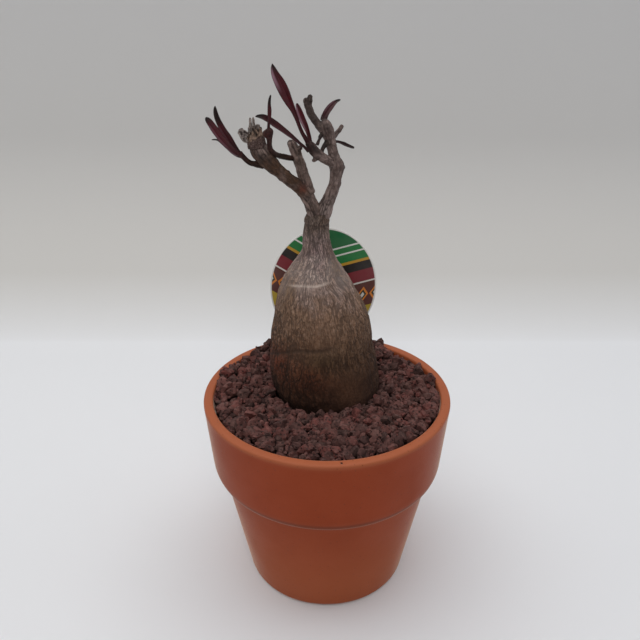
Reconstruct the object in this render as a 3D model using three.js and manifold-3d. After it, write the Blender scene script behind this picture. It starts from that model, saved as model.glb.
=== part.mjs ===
// A potted petopentia: a bottle-shaped caudex with two woody stems and its first young leaves,
// planted in a terracotta pot, top-dressed with lava grit and marked with an oval push-in label.
// Millimetres, +Z up, origin at the centre of the pot's underside, -Y is the front.
import * as THREE from "three";
import { mergeVertices } from "three/addons/utils/BufferGeometryUtils.js";
import Module from "manifold-3d";

// ---- Driving dimensions ----
const seatGap = 0.3; // clearance between a piece and what carries it

const potHeight = 101;
const rimRadius = 60;
const rimWall = 5.2; // thickness of the rim at the mouth
const bandRadius = 57; // outside of the band at its lower edge
const bandBottom = 66; // height where the band starts to turn in
const bodyTopRadius = 52.2; // outside of the body just under the band
const bodyTop = 59;
const footRadius = 41;
const footEdge = 2.5; // rounding at the foot
const floorThickness = 6;
const drainRadius = 10;
const innerShoulderRadius = 48.5; // inside of the wall at the height where the band starts
const innerFloorRadius = 36;
const potSides = 52;

const mixTop = 84; // top of the potting mix, under the grit
const gritAtWall = 96; // height of the grit bed at the pot's wall
const gritAtCaudex = 98.5; // and where it rises to the caudex
const gritHeap = 6; // how much higher it is heaped at the back, against the label
const grainCount = 250; // over the whole mouth, so about a fifth of them are left out for the caudex
const grainRadius = 3.6;

const caudexY = 10.5; // the caudex stands a little behind the pot's centre
const caudexSides = 44;
const barkRelief = 0.42; // depth of the bark's upright ridges

const bladeThickness = 0.7;
const labelThickness = 0.8;
const labelHalfWidth = 27.8;
const labelHalfHeight = 31.5;
const labelCentre = new THREE.Vector3(-1.7, 44, 137.5);
const labelLean = THREE.MathUtils.degToRad(6); // backwards
const labelTilt = THREE.MathUtils.degToRad(8); // to the right
const stakeLength = 74; // from the head's centre to the point
const stakeHalfWidth = 6;
const stakePointHalfWidth = 1.2;

// ---- Colours and finishes ----
const finish = (color, roughness) => new THREE.MeshStandardMaterial({ color, roughness, metalness: 0 });
const terracotta = finish(0x9c5434, 0.75);
const darkMix = finish(0x2b211b, 0.95);
const lava = finish(0x5a3c39, 0.95);
const bark = finish(0x5e5048, 0.9);
const stemBark = finish(0x51443f, 0.85);
const dryTissue = finish(0x8a7462, 0.95);
const youngShoot = finish(0x3a2320, 0.6);
const leafRed = finish(0x431d22, 0.45);
const labelPlastic = finish(0xe4e1da, 0.4);

// ---- Solids ----
const wasm = await Module();
wasm.setup();

// A closed three.js geometry as a solid that can be joined and cut.
function solid(geometry) {
  const bare = geometry.clone();
  bare.deleteAttribute("normal");
  bare.deleteAttribute("uv");
  const merged = mergeVertices(bare, 1e-3);
  return new wasm.Manifold(
    new wasm.Mesh({
      numProp: 3,
      vertProperties: new Float32Array(merged.attributes.position.array),
      triVerts: new Uint32Array(merged.index.array),
    }),
  );
}

// The largest body of a solid, so that a cut leaves no loose scraps.
const largest = (made) =>
  made.decompose().reduce((best, body) => (body.volume() > best.volume() ? body : best));

function geometryOf(made) {
  const mesh = made.getMesh();
  const position = new Float32Array(mesh.numVert * 3);
  for (let i = 0; i < mesh.numVert; i++) {
    position.set(mesh.vertProperties.subarray(i * mesh.numProp, i * mesh.numProp + 3), i * 3);
  }
  return new THREE.BufferGeometry()
    .setAttribute("position", new THREE.BufferAttribute(position, 3))
    .setIndex(new THREE.BufferAttribute(mesh.triVerts, 1));
}

const plant = new THREE.Group();
function add(name, made, material) {
  const tidied = solid(geometryOf(largest(made.simplify(0.02))));
  const geometry = geometryOf(largest(tidied));
  geometry.computeVertexNormals();
  const mesh = new THREE.Mesh(geometry, material);
  mesh.name = name;
  plant.add(mesh);
}

// Moves each vertex of a geometry to the place that the function gives for it.
function reshape(geometry, place) {
  const position = geometry.attributes.position;
  const at = new THREE.Vector3();
  for (let i = 0; i < position.count; i++) {
    place(at.fromBufferAttribute(position, i));
    position.setXYZ(i, at.x, at.y, at.z);
  }
  return geometry;
}

// A repeatable random number from 0 to 1 for each seed and index.
function chance(seed, index) {
  const wave = Math.sin(seed * 127.1 + index * 311.7) * 43758.5453;
  return wave - Math.floor(wave);
}

const turned = (points, sides) => new THREE.LatheGeometry(points, sides).rotateX(Math.PI / 2);
const mix = THREE.MathUtils.lerp;
const { smoothstep } = THREE.MathUtils;

// A value read from evenly spaced samples, t running from 0 to 1.
function sampled(values, t) {
  const at = t * (values.length - 1);
  const i = Math.min(Math.floor(at), values.length - 2);
  return mix(values[i], values[i + 1], at - i);
}

// A column of a table whose rows start with a height, read at any height.
function tableAt(rows, height, column) {
  const found = rows.findIndex(([level]) => level >= height);
  const above = found === -1 ? rows.length - 1 : Math.max(1, found);
  const low = rows[above - 1];
  const high = rows[above];
  const share = THREE.MathUtils.clamp((height - low[0]) / (high[0] - low[0]), 0, 1);
  return mix(low[column], high[column], share);
}

// ---- Pot ----
const innerMouthRadius = rimRadius - rimWall;
const rimEdge = 1.4; // rounding of the rim's two edges

function potOutline() {
  const outline = new THREE.Path();
  outline.moveTo(drainRadius, 0);
  outline.lineTo(footRadius - footEdge, 0);
  outline.quadraticCurveTo(footRadius, 0, footRadius + 0.4, footEdge);
  outline.lineTo(bodyTopRadius, bodyTop);
  outline.bezierCurveTo(
    bodyTopRadius + 0.6, bodyTop + 3.5,
    bandRadius, bandBottom - 5,
    bandRadius + 0.3, bandBottom + 2,
  );
  outline.lineTo(rimRadius, potHeight - rimEdge);
  outline.quadraticCurveTo(rimRadius, potHeight, rimRadius - rimEdge, potHeight);
  outline.lineTo(innerMouthRadius + rimEdge, potHeight);
  outline.quadraticCurveTo(innerMouthRadius, potHeight, innerMouthRadius, potHeight - rimEdge);
  outline.lineTo(innerShoulderRadius, bandBottom);
  outline.lineTo(innerFloorRadius + 1.2, floorThickness + 3);
  outline.quadraticCurveTo(innerFloorRadius, floorThickness, innerFloorRadius - 3, floorThickness);
  outline.lineTo(drainRadius, floorThickness);
  outline.lineTo(drainRadius, 0);
  return outline.getPoints(3);
}
add("pot", solid(turned(potOutline(), potSides)), terracotta);

// The inside of the wall, and the radius left for what fills the pot.
const innerWall = [
  [floorThickness + 3, innerFloorRadius + 1.2],
  [bandBottom, innerShoulderRadius],
  [potHeight - rimEdge, innerMouthRadius],
];
const roomRadius = (height) => tableAt(innerWall, height, 1) - seatGap - 0.2;
const points = (rows) => rows.map(([radius, height]) => new THREE.Vector2(radius, height));

// ---- Caudex ----
// Height, radius and sideways shift of the axis, from the taproot's tip to the top of the neck.
const caudexForm = [
  [40, 1.2, 2.5], [50, 3.2, 2.0], [60, 6.0, 1.6], [70, 10.5, 1.3], [79, 16.5, 1.2], [87, 21.8, 1.1],
  [93, 24.8, 0.8], [98, 26.2, 0.4], [103, 26.9, -0.6], [109.5, 26.7, -1.6], [116.5, 26.0, -2.2],
  [122.5, 25.0, -2.8], [129, 24.4, -3.0], [137.5, 22.7, -3.0], [145, 20.6, -3.9], [151, 18.2, -4.9],
  [157.2, 15.3, -5.2], [162.2, 12.2, -5.3], [166.7, 9.1, -5.0], [170.5, 7.2, -4.6], [174.5, 6.5, -4.9],
  [178, 6.1, -5.0], [182, 5.7, -4.9], [184.6, 5.9, -4.7], [186.6, 5.3, -4.5], [188, 4.4, -4.3],
];
const soilLine = 97;

function caudexSolid(clearance) {
  const [bottom] = caudexForm[0];
  const [top] = caudexForm.at(-1);
  const outline = points([
    [0, bottom - 1.5 - clearance],
    ...caudexForm.map(([height, radius]) => [radius + clearance, height]),
    [0, top + 0.4 + clearance],
  ]);
  return solid(
    reshape(turned(outline, caudexSides), (at) => {
      const radius = Math.hypot(at.x, at.y);
      const angle = Math.atan2(at.y, at.x);
      const side = Math.round((angle / (2 * Math.PI)) * caudexSides + caudexSides) % caudexSides;
      // Every other side is a ridge of its own height, and the body bulges a little in three lobes.
      const height = side % 2 ? chance(7, side) : -chance(3, side);
      const above = smoothstep(at.z, soilLine - 2, soilLine + 8);
      const ridge = above * barkRelief * height * Math.min(1, radius / 14);
      const lobes = above * 0.012 * radius * Math.sin(3 * angle + at.z * 0.06);
      const grown = radius > 0.1 ? (radius + ridge + lobes) / radius : 1;
      at.x = at.x * grown + tableAt(caudexForm, at.z, 2);
      at.y = at.y * grown + caudexY;
    }),
  );
}
add("caudex", caudexSolid(0), bark);
const caudexRoom = caudexSolid(seatGap);

// ---- Limbs: stems, shoots, stubs and petioles ----
const vector = ([x, y, z]) => new THREE.Vector3(x, y, z);
const sideways = new THREE.Vector3(0, 1, 0);

// A round limb through the given points, each [x, y, z, radius].
function limb(route, clearance = 0) {
  const curve = new THREE.CatmullRomCurve3(route.map(vector));
  const radii = route.map(([, , , radius]) => radius);
  const sides = Math.max(...radii) > 2 ? 9 : 6;
  const steps = Math.round((route.length - 1) * 1.6);
  return solid(
    reshape(new THREE.CylinderGeometry(1, 1, 1, sides, steps), (at) => {
      const t = at.y + 0.5;
      const along = curve.getTangent(t);
      const across = new THREE.Vector3().crossVectors(sideways, along).normalize();
      const outward = new THREE.Vector3().crossVectors(along, across);
      const radius = sampled(radii, t) + clearance;
      const { x, z } = at;
      at.copy(curve.getPoint(t)).addScaledVector(across, z * radius).addScaledVector(outward, x * radius);
    }),
  );
}
const joined = (solids) => wasm.Manifold.union(solids);
const limbs = (routes, clearance) => joined(routes.map((route) => limb(route, clearance)));

// Left stem: the trunk ends in a thick cut stub; the middle arm forks off and is cut short as well.
const leftStemRoutes = [
  [[-5.0, 9.6, 184, 2.2], [-5.8, 9.4, 188.6, 2.8], [-7.7, 8.9, 193.3, 2.9], [-9.6, 8.4, 197.1, 3.0],
    [-12.8, 7.2, 200.8, 2.8], [-16.5, 5.4, 204.4, 2.8], [-19.5, 3.8, 207.2, 2.7],
    [-22.5, 2.2, 210.4, 3.0], [-25.3, 0.9, 213.6, 3.6], [-28.0, -0.2, 217.4, 4.0],
    [-30.1, -0.9, 222.1, 3.9]],
  [[-7.8, 8.6, 197.3, 2.5], [-9.4, 8.8, 201.8, 2.6], [-10.6, 9.4, 205.5, 2.6],
    [-11.8, 10.0, 209.2, 2.5], [-13.2, 10.8, 212.8, 2.3], [-14.6, 11.6, 216.4, 2.2],
    [-15.7, 12.0, 218.8, 2.1], [-16.0, 12.1, 220.2, 1.3]],
  [[-13.6, 10.8, 216.0, 0.9], [-12.2, 10.9, 217.2, 0.9], [-11.6, 11.0, 218.2, 0.4]],
];
// Right stem: kinked at a leaf scar, where a side branch leaves to the left; stubs and dry petioles above.
const rightStemRoutes = [
  [[-2.4, 9.8, 184, 2.2], [-1.5, 9.8, 188.4, 3.4], [-0.4, 10.1, 191.8, 3.2], [1.2, 10.9, 195.6, 2.9],
    [2.7, 11.8, 199.2, 2.7], [3.4, 12.4, 202.6, 2.6], [3.9, 13.0, 206.0, 2.9], [3.8, 13.4, 208.8, 3.1],
    [2.8, 13.9, 212.4, 2.6], [1.9, 14.4, 216.3, 2.3], [1.0, 14.7, 219.8, 2.4], [-0.2, 15.0, 223.2, 2.9],
    [-1.0, 15.4, 226.2, 2.6], [-1.4, 15.8, 228.4, 1.5]],
  [[0.4, 14.7, 221.0, 1.9], [-2.4, 15.2, 224.0, 2.0], [-5.2, 15.9, 227.2, 1.7],
    [-7.1, 16.5, 230.0, 1.7], [-8.2, 17.0, 232.8, 1.5], [-9.0, 17.4, 235.0, 1.5],
    [-9.9, 17.7, 236.9, 1.1]],
  [[-8.2, 17.1, 233.2, 1.2], [-7.9, 17.5, 236.0, 1.4], [-7.4, 17.8, 238.3, 1.0]],
  [[3.2, 13.0, 209.4, 2.2], [0.2, 11.8, 211.2, 2.0], [-2.8, 10.2, 213.2, 2.2], [-5.5, 8.3, 215.8, 2.3],
    [-7.5, 6.9, 218.8, 2.1], [-8.6, 6.2, 220.6, 1.4]],
  [[1.8, 14.9, 219.8, 1.3], [4.2, 16.6, 222.4, 1.1], [5.8, 18.1, 224.2, 1.1],
    [6.7, 18.9, 225.3, 0.9]],
  [[-1.6, 14.8, 223.4, 0.8], [-3.4, 12.6, 221.4, 0.7], [-4.1, 11.0, 219.6, 0.6],
    [-4.7, 9.9, 218.2, 0.6]],
  [[0.6, 14.2, 220.0, 0.9], [-1.0, 12.4, 218.3, 0.9], [-2.4, 10.9, 216.2, 0.8],
    [-3.2, 9.8, 214.4, 0.8]],
  [[4.4, 13.2, 207.4, 1.3], [5.6, 13.2, 207.8, 1.0], [6.4, 13.2, 208.0, 0.4]],
  [[-4.6, 8.6, 213.4, 1.3], [-6.0, 7.9, 212.3, 0.9], [-6.7, 7.6, 211.8, 0.4]],
];
const leftStemRoom = limbs(leftStemRoutes, seatGap);
add("stem_left", limbs(leftStemRoutes).subtract(caudexRoom), stemBark);
add("stem_right", limbs(rightStemRoutes).subtract(caudexRoom).subtract(leftStemRoom), stemBark);
const stemRoom = leftStemRoom.add(limbs(rightStemRoutes, seatGap));

// Young shoots, still soft and dark red.
const leftShootRoute = [
  [-27.3, 0.4, 211.5, 1.2], [-29.2, -0.2, 212.3, 1.3], [-30.7, -0.8, 212.8, 1.2],
  [-32.4, -1.6, 213.3, 1.1], [-34.0, -2.6, 214.7, 1.1], [-35.4, -3.6, 216.5, 1.1],
  [-36.5, -4.4, 217.9, 1.1], [-37.1, -4.7, 218.6, 0.7],
];
const centreShootRoute = [
  [-13.8, 10.9, 212.2, 1.1], [-17.2, 8.6, 213.3, 1.2], [-19.3, 5.4, 214.5, 1.2],
  [-21.3, 2.0, 215.8, 1.1], [-22.8, -1.5, 217.6, 1.1], [-23.8, -3.3, 219.4, 1.1],
  [-24.2, -4.0, 221.6, 1.1], [-24.3, -4.2, 224.1, 1.4], [-24.0, -4.3, 226.5, 1.7],
  [-23.7, -4.3, 227.9, 0.9],
];
add("shoot_left", limb(leftShootRoute).subtract(stemRoom), youngShoot);
add("shoot_centre", limb(centreShootRoute).subtract(stemRoom), youngShoot);
const woodRoom = stemRoom.add(limbs([leftShootRoute, centreShootRoute], seatGap));

// ---- Leaves ----
// A blade folded along its midrib in a V, which opens towards `facing`. The midrib's points are
// [x, y, z, half the blade's width]; near the petiole the fold flattens out.
function blade({ midrib, fold, facing }, clearance = 0) {
  const curve = new THREE.CatmullRomCurve3(midrib.map(vector));
  const halfWidths = midrib.map(([, , , halfWidth]) => halfWidth);
  const foldAngle = THREE.MathUtils.degToRad(fold);
  const upwards = vector(facing);
  const steps = Math.round((midrib.length - 1) * 1.6);
  return solid(
    reshape(new THREE.BoxGeometry(2, 1, 1, 2, 1, steps), (at) => {
      const t = at.z + 0.5;
      const along = curve.getTangent(t);
      const up = upwards.clone().addScaledVector(along, -upwards.dot(along)).normalize();
      const side = new THREE.Vector3().crossVectors(up, along);
      const angle = foldAngle * smoothstep(t, 0, 0.25);
      const half = Math.sign(at.x);
      const reach = sampled(halfWidths, t) + clearance;
      const layer = at.y * (bladeThickness + 2 * clearance);
      const rise = Math.sin(angle) * reach + Math.cos(angle) * layer;
      const past = Math.abs(at.z) > 0.49 ? Math.sign(at.z) * clearance : 0;
      at.copy(curve.getPoint(t))
        .addScaledVector(along, past)
        .addScaledVector(side, half * (Math.cos(angle) * reach - Math.sin(angle) * layer))
        .addScaledVector(up, half ? rise : layer / Math.cos(angle));
    }),
  );
}

const leaves = {
  leaf_left_long: {
    midrib: [[-35.8, -4.2, 216.9, 0.7], [-36.8, -4.6, 218.3, 0.8], [-38.8, -4.8, 221.5, 1.2],
      [-40.5, -5.0, 224.5, 1.5], [-42.2, -5.2, 227.3, 1.5], [-43.6, -5.3, 230.1, 1.3],
      [-44.6, -5.2, 232.5, 1.1], [-45.2, -4.9, 234.8, 0.9], [-45.4, -4.6, 237.0, 0.4]],
    fold: 30, facing: [-0.2, -0.9, 0.1],
  },
  leaf_left_round: {
    midrib: [[-35.8, -4.6, 217.1, 0.7], [-37.0, -5.4, 218.1, 0.7], [-39.3, -6.6, 220.4, 1.1],
      [-41.4, -7.6, 222.9, 1.4], [-43.3, -8.6, 225.5, 1.5], [-44.7, -9.4, 227.9, 1.5],
      [-46.0, -10.2, 230.1, 1.4], [-47.3, -10.9, 232.3, 1.2], [-48.3, -11.5, 233.8, 0.6]],
    fold: 25, facing: [-0.2, -0.9, 0.1],
  },
  leaf_left_curled: {
    midrib: [[-36.2, -3.8, 216.4, 0.6], [-38.4, -3.8, 217.1, 0.7], [-40.0, -3.6, 218.1, 0.8],
      [-41.5, -3.4, 219.5, 0.7], [-43.2, -3.1, 221.1, 0.7], [-44.7, -2.8, 222.4, 0.6],
      [-46.0, -2.4, 223.0, 0.5], [-48.2, -1.6, 222.9, 0.4]],
    fold: 32, facing: [0.3, -0.6, 0.8],
  },
  leaf_centre: {
    midrib: [[-24.3, -4.2, 226.6, 0.6], [-24.3, -4.3, 229.5, 0.6], [-24.0, -4.5, 233.2, 0.7],
      [-23.8, -4.7, 236.2, 0.6], [-23.8, -4.8, 238.4, 0.6], [-23.4, -4.9, 240.0, 0.5],
      [-23.0, -5.0, 241.3, 0.4]],
    fold: 30, facing: [0.9, -0.4, 0],
  },
  leaf_arching: {
    midrib: [[-8.3, 4.4, 216.7, 0.6], [-10.1, 4.0, 218.9, 0.6], [-11.7, 3.4, 220.3, 0.7],
      [-14.0, 2.4, 222.5, 0.9], [-16.7, 1.2, 224.9, 1.2], [-19.4, 0.2, 227.2, 1.4],
      [-22.0, -0.6, 229.2, 1.6], [-24.3, -1.2, 230.9, 1.5], [-26.4, -1.6, 232.0, 1.3],
      [-28.3, -1.8, 232.4, 0.8], [-29.8, -1.9, 232.3, 0.4]],
    fold: 30, facing: [0.1, -0.9, 0.3],
  },
  leaf_tall: {
    midrib: [[-8.3, 6.3, 218.7, 0.7], [-9.4, 5.6, 221.8, 0.6], [-11.0, 4.6, 225.1, 0.6],
      [-12.9, 2.9, 230.5, 0.6], [-14.3, 1.2, 234.5, 0.9], [-16.0, -0.9, 238.5, 1.7],
      [-17.4, -3.0, 242.2, 2.4], [-18.9, -5.0, 245.8, 2.5], [-20.4, -6.8, 249.1, 2.1],
      [-21.2, -8.2, 251.4, 1.4], [-21.8, -9.2, 253.6, 0.4]],
    fold: 30, facing: [-0.2, -0.9, 0.1],
  },
  leaf_short: {
    midrib: [[-8.2, 7.2, 220.4, 0.6], [-8.3, 8.0, 223.4, 0.5], [-8.6, 8.3, 224.9, 0.6],
      [-9.4, 8.8, 226.4, 1.0], [-10.8, 9.4, 228.6, 1.4], [-11.8, 10.0, 230.8, 1.5],
      [-12.5, 10.6, 233.0, 1.4], [-13.0, 11.0, 234.5, 1.0], [-13.2, 11.2, 235.6, 0.4]],
    fold: 32, facing: [-0.2, -0.9, 0.1],
  },
  leaf_upper: {
    midrib: [[-1.7, 15.8, 227.9, 1.4], [-1.5, 17.0, 229.8, 1.6], [-0.7, 18.4, 231.6, 1.6],
      [0.8, 20.0, 233.5, 1.4], [2.7, 21.6, 234.7, 0.9], [5.3, 23.4, 235.5, 0.4]],
    fold: 28, facing: [-0.1, -0.9, 0.3],
  },
  leaf_right_narrow: {
    midrib: [[2.6, 14.2, 219.0, 0.6], [4.1, 14.6, 218.8, 0.6], [6.2, 15.1, 218.0, 0.8],
      [8.1, 15.5, 217.1, 0.8], [10.1, 15.9, 216.3, 0.6], [11.7, 16.2, 215.7, 0.4]],
    fold: 32, facing: [0.1, -0.7, 0.6],
  },
};
let taken = woodRoom;
for (const [name, leaf] of Object.entries(leaves)) {
  add(name, blade(leaf).subtract(taken), leafRed);
  taken = taken.add(blade(leaf, seatGap));
}

// ---- Dry remains on the left stub: a torn cup of pith, a curled flake of bark and two dead threads ----
const cupHeight = 6.6;
const cupSides = 11;
function tornCup() {
  const cup = reshape(new THREE.CylinderGeometry(2.7, 3.8, cupHeight, cupSides, 1), (at) => {
    const side = Math.round((Math.atan2(at.z, at.x) / (2 * Math.PI)) * cupSides + cupSides) % cupSides;
    if (at.y > 0 && Math.hypot(at.x, at.z) > 0.1) at.y -= 1.8 * chance(5, side);
  });
  cup.rotateX(Math.PI / 2).rotateY(0.2).translate(-30.0, -0.9, 224.3);
  return solid(cup).subtract(limb([[-29.6, -1.2, 224.6, 1.3], [-29.5, -1.3, 226.5, 1.7],
    [-29.3, -1.4, 230, 2.1]]));
}
const dryThreadRoutes = [
  [[-31.4, -2.4, 224.6, 0.6], [-31.7, -2.8, 227.6, 0.5], [-31.8, -2.9, 230.4, 0.45],
    [-31.9, -3.0, 232.2, 0.4]],
  [[-30.4, -2.6, 224.6, 0.6], [-30.5, -2.7, 227.5, 0.5], [-30.4, -2.8, 230.3, 0.45],
    [-30.6, -2.9, 232.3, 0.4]],
];
const dryFlake = {
  midrib: [[-32.4, -1.6, 221.2, 1.0], [-33.6, -1.9, 222.6, 1.3], [-34.3, -2.2, 223.8, 1.7],
    [-35.1, -2.6, 225.4, 1.9], [-35.9, -2.8, 226.8, 1.6], [-36.5, -2.8, 227.8, 0.8]],
  fold: 25, facing: [-0.3, -0.9, 0],
};
add(
  "dried_stub_end",
  joined([tornCup(), limbs(dryThreadRoutes), blade(dryFlake)]).subtract(taken),
  dryTissue,
);

// ---- Label: an oval head on a pointed stake, cut from one plastic sheet ----
function labelShape(clearance) {
  const shape = new THREE.Shape();
  const joint = Math.asin((stakeHalfWidth + clearance) / (labelHalfWidth + clearance));
  shape.moveTo(-stakePointHalfWidth - clearance, -stakeLength - clearance);
  shape.lineTo(stakePointHalfWidth + clearance, -stakeLength - clearance);
  shape.lineTo(stakeHalfWidth + clearance, -stakeLength + 22);
  shape.absellipse(
    0, 0,
    labelHalfWidth + clearance, labelHalfHeight + clearance,
    joint - Math.PI / 2, 1.5 * Math.PI - joint,
  );
  shape.lineTo(-stakeHalfWidth - clearance, -stakeLength + 22);
  return shape;
}
function labelSolid(clearance) {
  const depth = labelThickness + 2 * clearance;
  return solid(
    new THREE.ExtrudeGeometry(labelShape(clearance), { depth, bevelEnabled: false, curveSegments: 40 })
      .translate(0, 0, -depth / 2)
      .rotateZ(-labelTilt)
      .rotateX(Math.PI / 2 - labelLean)
      .translate(labelCentre.x, labelCentre.y, labelCentre.z),
  );
}
add("label", labelSolid(0), labelPlastic);
const labelRoom = labelSolid(seatGap);

// ---- Potting mix, with plain holes for the root and the stake ----
function pottingMix() {
  const bottom = floorThickness + seatGap;
  const outline = points([
    [0, bottom],
    [innerFloorRadius - 3.5, bottom],
    [roomRadius(floorThickness + 3), floorThickness + 3],
    [roomRadius(bandBottom), bandBottom],
    [roomRadius(mixTop), mixTop],
    [0, mixTop],
  ]);
  return solid(turned(outline, potSides)).subtract(caudexRoom).subtract(labelRoom);
}
add("potting_mix", pottingMix(), darkMix);

// ---- Lava grit: a bed with angular stones half sunk in it ----
const gritBottom = mixTop + seatGap;

function gritHeight(x, y) {
  const dished = mix(gritAtCaudex, gritAtWall, smoothstep(Math.hypot(x, y), 24, 52));
  const behind = smoothstep(y, 24, 46) * (1 - smoothstep(Math.abs(x + 5), 30, 48));
  return dished + gritHeap * behind;
}

function gritBed() {
  const edge = roomRadius(potHeight);
  const rings = [edge, 48, 40, 32, 24, 0];
  const outline = points([
    [0, gritBottom],
    [edge, gritBottom],
    ...rings.map((radius) => [radius, gritAtCaudex]),
  ]);
  return solid(
    reshape(turned(outline, potSides / 2), (at) => {
      if (at.z > gritBottom + 1) at.z = gritHeight(at.x, at.y);
    }),
  );
}

// What the grit may fill: the mouth of the pot, and the air over the rim.
function gritRoom() {
  const overRim = potHeight + 0.4;
  return solid(
    turned(
      points([
        [0, gritBottom],
        [roomRadius(gritBottom), gritBottom],
        [roomRadius(potHeight), potHeight - rimEdge],
        [roomRadius(potHeight), overRim],
        [rimRadius - 2, overRim],
        [rimRadius - 2, overRim + 12],
        [0, overRim + 12],
      ]),
      potSides,
    ),
  );
}

// A stone: an octahedron with each corner pulled in or out, turned and flattened at random.
function grain(index, x, y) {
  const size = grainRadius * mix(0.75, 1.2, chance(11, index));
  const flat = mix(0.6, 0.95, chance(12, index));
  const turn = new THREE.Euler(6.3 * chance(13, index), 6.3 * chance(14, index), 6.3 * chance(15, index));
  const centre = new THREE.Vector3(x, y, gritHeight(x, y) + size * mix(-0.25, 0.2, chance(16, index)));
  return solid(
    reshape(new THREE.OctahedronGeometry(1, 0), (at) => {
      const corner = Math.round(at.x) + 3 * Math.round(at.y) + 9 * Math.round(at.z);
      at.multiplyScalar(size * mix(0.75, 1.2, chance(17 + index, corner)));
      at.z *= flat;
      at.applyEuler(turn).add(centre);
    }),
  );
}

// Stones on a sunflower spiral, which covers the mouth evenly, each nudged at random.
function gritGrains() {
  const grains = [];
  const goldenAngle = Math.PI * (3 - Math.sqrt(5));
  for (let i = 0; i < grainCount; i++) {
    const radius = (innerMouthRadius - 1) * Math.sqrt((i + 0.5) / grainCount);
    const x = radius * Math.cos(i * goldenAngle) + 1.5 * (chance(18, i) - 0.5);
    const y = radius * Math.sin(i * goldenAngle) + 1.5 * (chance(19, i) - 0.5);
    if (Math.hypot(x, y - caudexY) > 24.5) grains.push(grain(i, x, y));
  }
  return joined(grains);
}
add(
  "lava_grit",
  joined([gritBed(), gritGrains()]).intersect(gritRoom()).subtract(caudexRoom).subtract(labelRoom),
  lava,
);

export default plant;
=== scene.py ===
import itertools
import math
import bmesh
import bpy
import numpy as np
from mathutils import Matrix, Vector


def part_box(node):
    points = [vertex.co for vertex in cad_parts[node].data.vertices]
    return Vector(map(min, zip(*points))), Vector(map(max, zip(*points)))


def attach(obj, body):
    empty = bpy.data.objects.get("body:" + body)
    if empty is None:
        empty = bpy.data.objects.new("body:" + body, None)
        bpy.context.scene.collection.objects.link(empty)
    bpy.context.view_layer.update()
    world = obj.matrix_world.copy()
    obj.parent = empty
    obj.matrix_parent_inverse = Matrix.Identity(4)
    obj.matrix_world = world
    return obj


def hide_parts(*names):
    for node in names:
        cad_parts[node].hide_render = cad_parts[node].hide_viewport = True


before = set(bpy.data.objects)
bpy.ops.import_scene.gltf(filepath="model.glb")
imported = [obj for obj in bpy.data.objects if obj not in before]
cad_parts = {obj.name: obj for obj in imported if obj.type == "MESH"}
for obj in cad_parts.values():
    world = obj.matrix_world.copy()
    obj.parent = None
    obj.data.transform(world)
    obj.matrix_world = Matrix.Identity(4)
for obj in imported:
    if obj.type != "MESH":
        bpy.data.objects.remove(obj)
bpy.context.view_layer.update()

mm = 0.001
scene = bpy.context.scene
print("frame loaded:", len(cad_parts), "nodes")


def boxOf(node):
    # a node's lowest and highest corners in millimetres
    low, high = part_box(node)
    return np.array(low) / mm, np.array(high) / mm


# Numbers, noise and paths

def ease(low, high, value):
    # 3t^2 - 2t^3 of the value's share t of the way from low to high
    t = np.clip((value - low) / (high - low), 0, 1)
    return t * t * (3 - 2 * t)


def bell(value, centre, width):
    # e to the minus square of the value's distance from the centre over the width
    return np.exp(-(((value - centre) / width) ** 2))


def cellChance(cell, seed):
    # a repeatable number from -1 to 1 for each lattice cell: twice the fraction of a large sine of its
    # mixed indices, less 1
    mixed = np.sin(cell @ np.array([127.1, 311.7, 74.7]) + seed * 53.3) * 43758.5453
    return 2.0 * (mixed - np.floor(mixed)) - 1.0


def noise(points, seed=0):
    # from -1 to 1: the chances at the eight corners of the unit cell round each point, blended by 3t^2 - 2t^3
    cell = np.floor(points)
    share = points - cell
    share = share * share * (3.0 - 2.0 * share)
    total = np.zeros(points.shape[:-1])
    for corner in itertools.product((0, 1), repeat=3):
        weight = np.prod(np.where(corner, share, 1.0 - share), axis=-1)
        total += weight * cellChance(cell + np.array(corner), seed)
    return total


def creases(points, width, seed=0):
    # 1 along the thin sheets where the noise crosses zero, falling to 0 at the given width from them
    return 1.0 - ease(0.0, width, np.abs(noise(points, seed)))


def spline(knots, count):
    # Catmull-Rom: a cubic in each span, with slopes of half the difference between the knots on either side
    knots = np.array(knots, float)
    padded = np.vstack([2 * knots[0] - knots[1], knots, 2 * knots[-1] - knots[-2]])
    at = np.linspace(0, len(knots) - 1, count)
    span = np.minimum(at.astype(int), len(knots) - 2)
    t = (at - span)[:, None]
    a, b, c, d = (padded[span + step] for step in range(4))
    return b + 0.5 * t * (c - a + t * (2 * a - 5 * b + 4 * c - d + t * (3 * (b - c) + d - a)))


def unit(vectors):
    # each vector over its own length
    return vectors / np.linalg.norm(vectors, axis=-1, keepdims=True)


def walkedAlong(path):
    # the distance walked along the path to each of its points
    return np.append(0.0, np.cumsum(np.linalg.norm(np.diff(path, axis=0), axis=1)))


def splineBySteps(route, step, fewest):
    # a spline with about one point in each step of its length, and no fewer than the fewest
    return spline(route, max(fewest, int(walkedAlong(np.array(route, float)[:, :3])[-1] / step)))


def sidesAlong(path, reference=(0, 1, 0)):
    # side = reference x tangent, up = tangent x side, where the tangent comes from the neighbouring points
    tangent = unit(np.gradient(path, axis=0))
    side = unit(np.cross(np.broadcast_to(reference, tangent.shape), tangent))
    return side, np.cross(tangent, side)


def carried(line, across, rise, reference=(0, 1, 0)):
    # a section carried along a line: point = place on the line + side * across + up * rise
    side, up = sidesAlong(line[:, :3], reference)
    return line[:, None, :3] + side[:, None] * across[..., None] + up[:, None] * rise[..., None]


def shares(count):
    # from 0 to 1, down a column
    return np.linspace(0, 1, count)[:, None]


def turns(columns):
    # the angles round a ring, along a row
    return np.linspace(0, 2 * math.pi, columns, endpoint=False)[None]


def joined(*parts):
    # x, y and z of every row and column, as one array of points
    return np.stack(np.broadcast_arrays(*parts), axis=-1)


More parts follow.
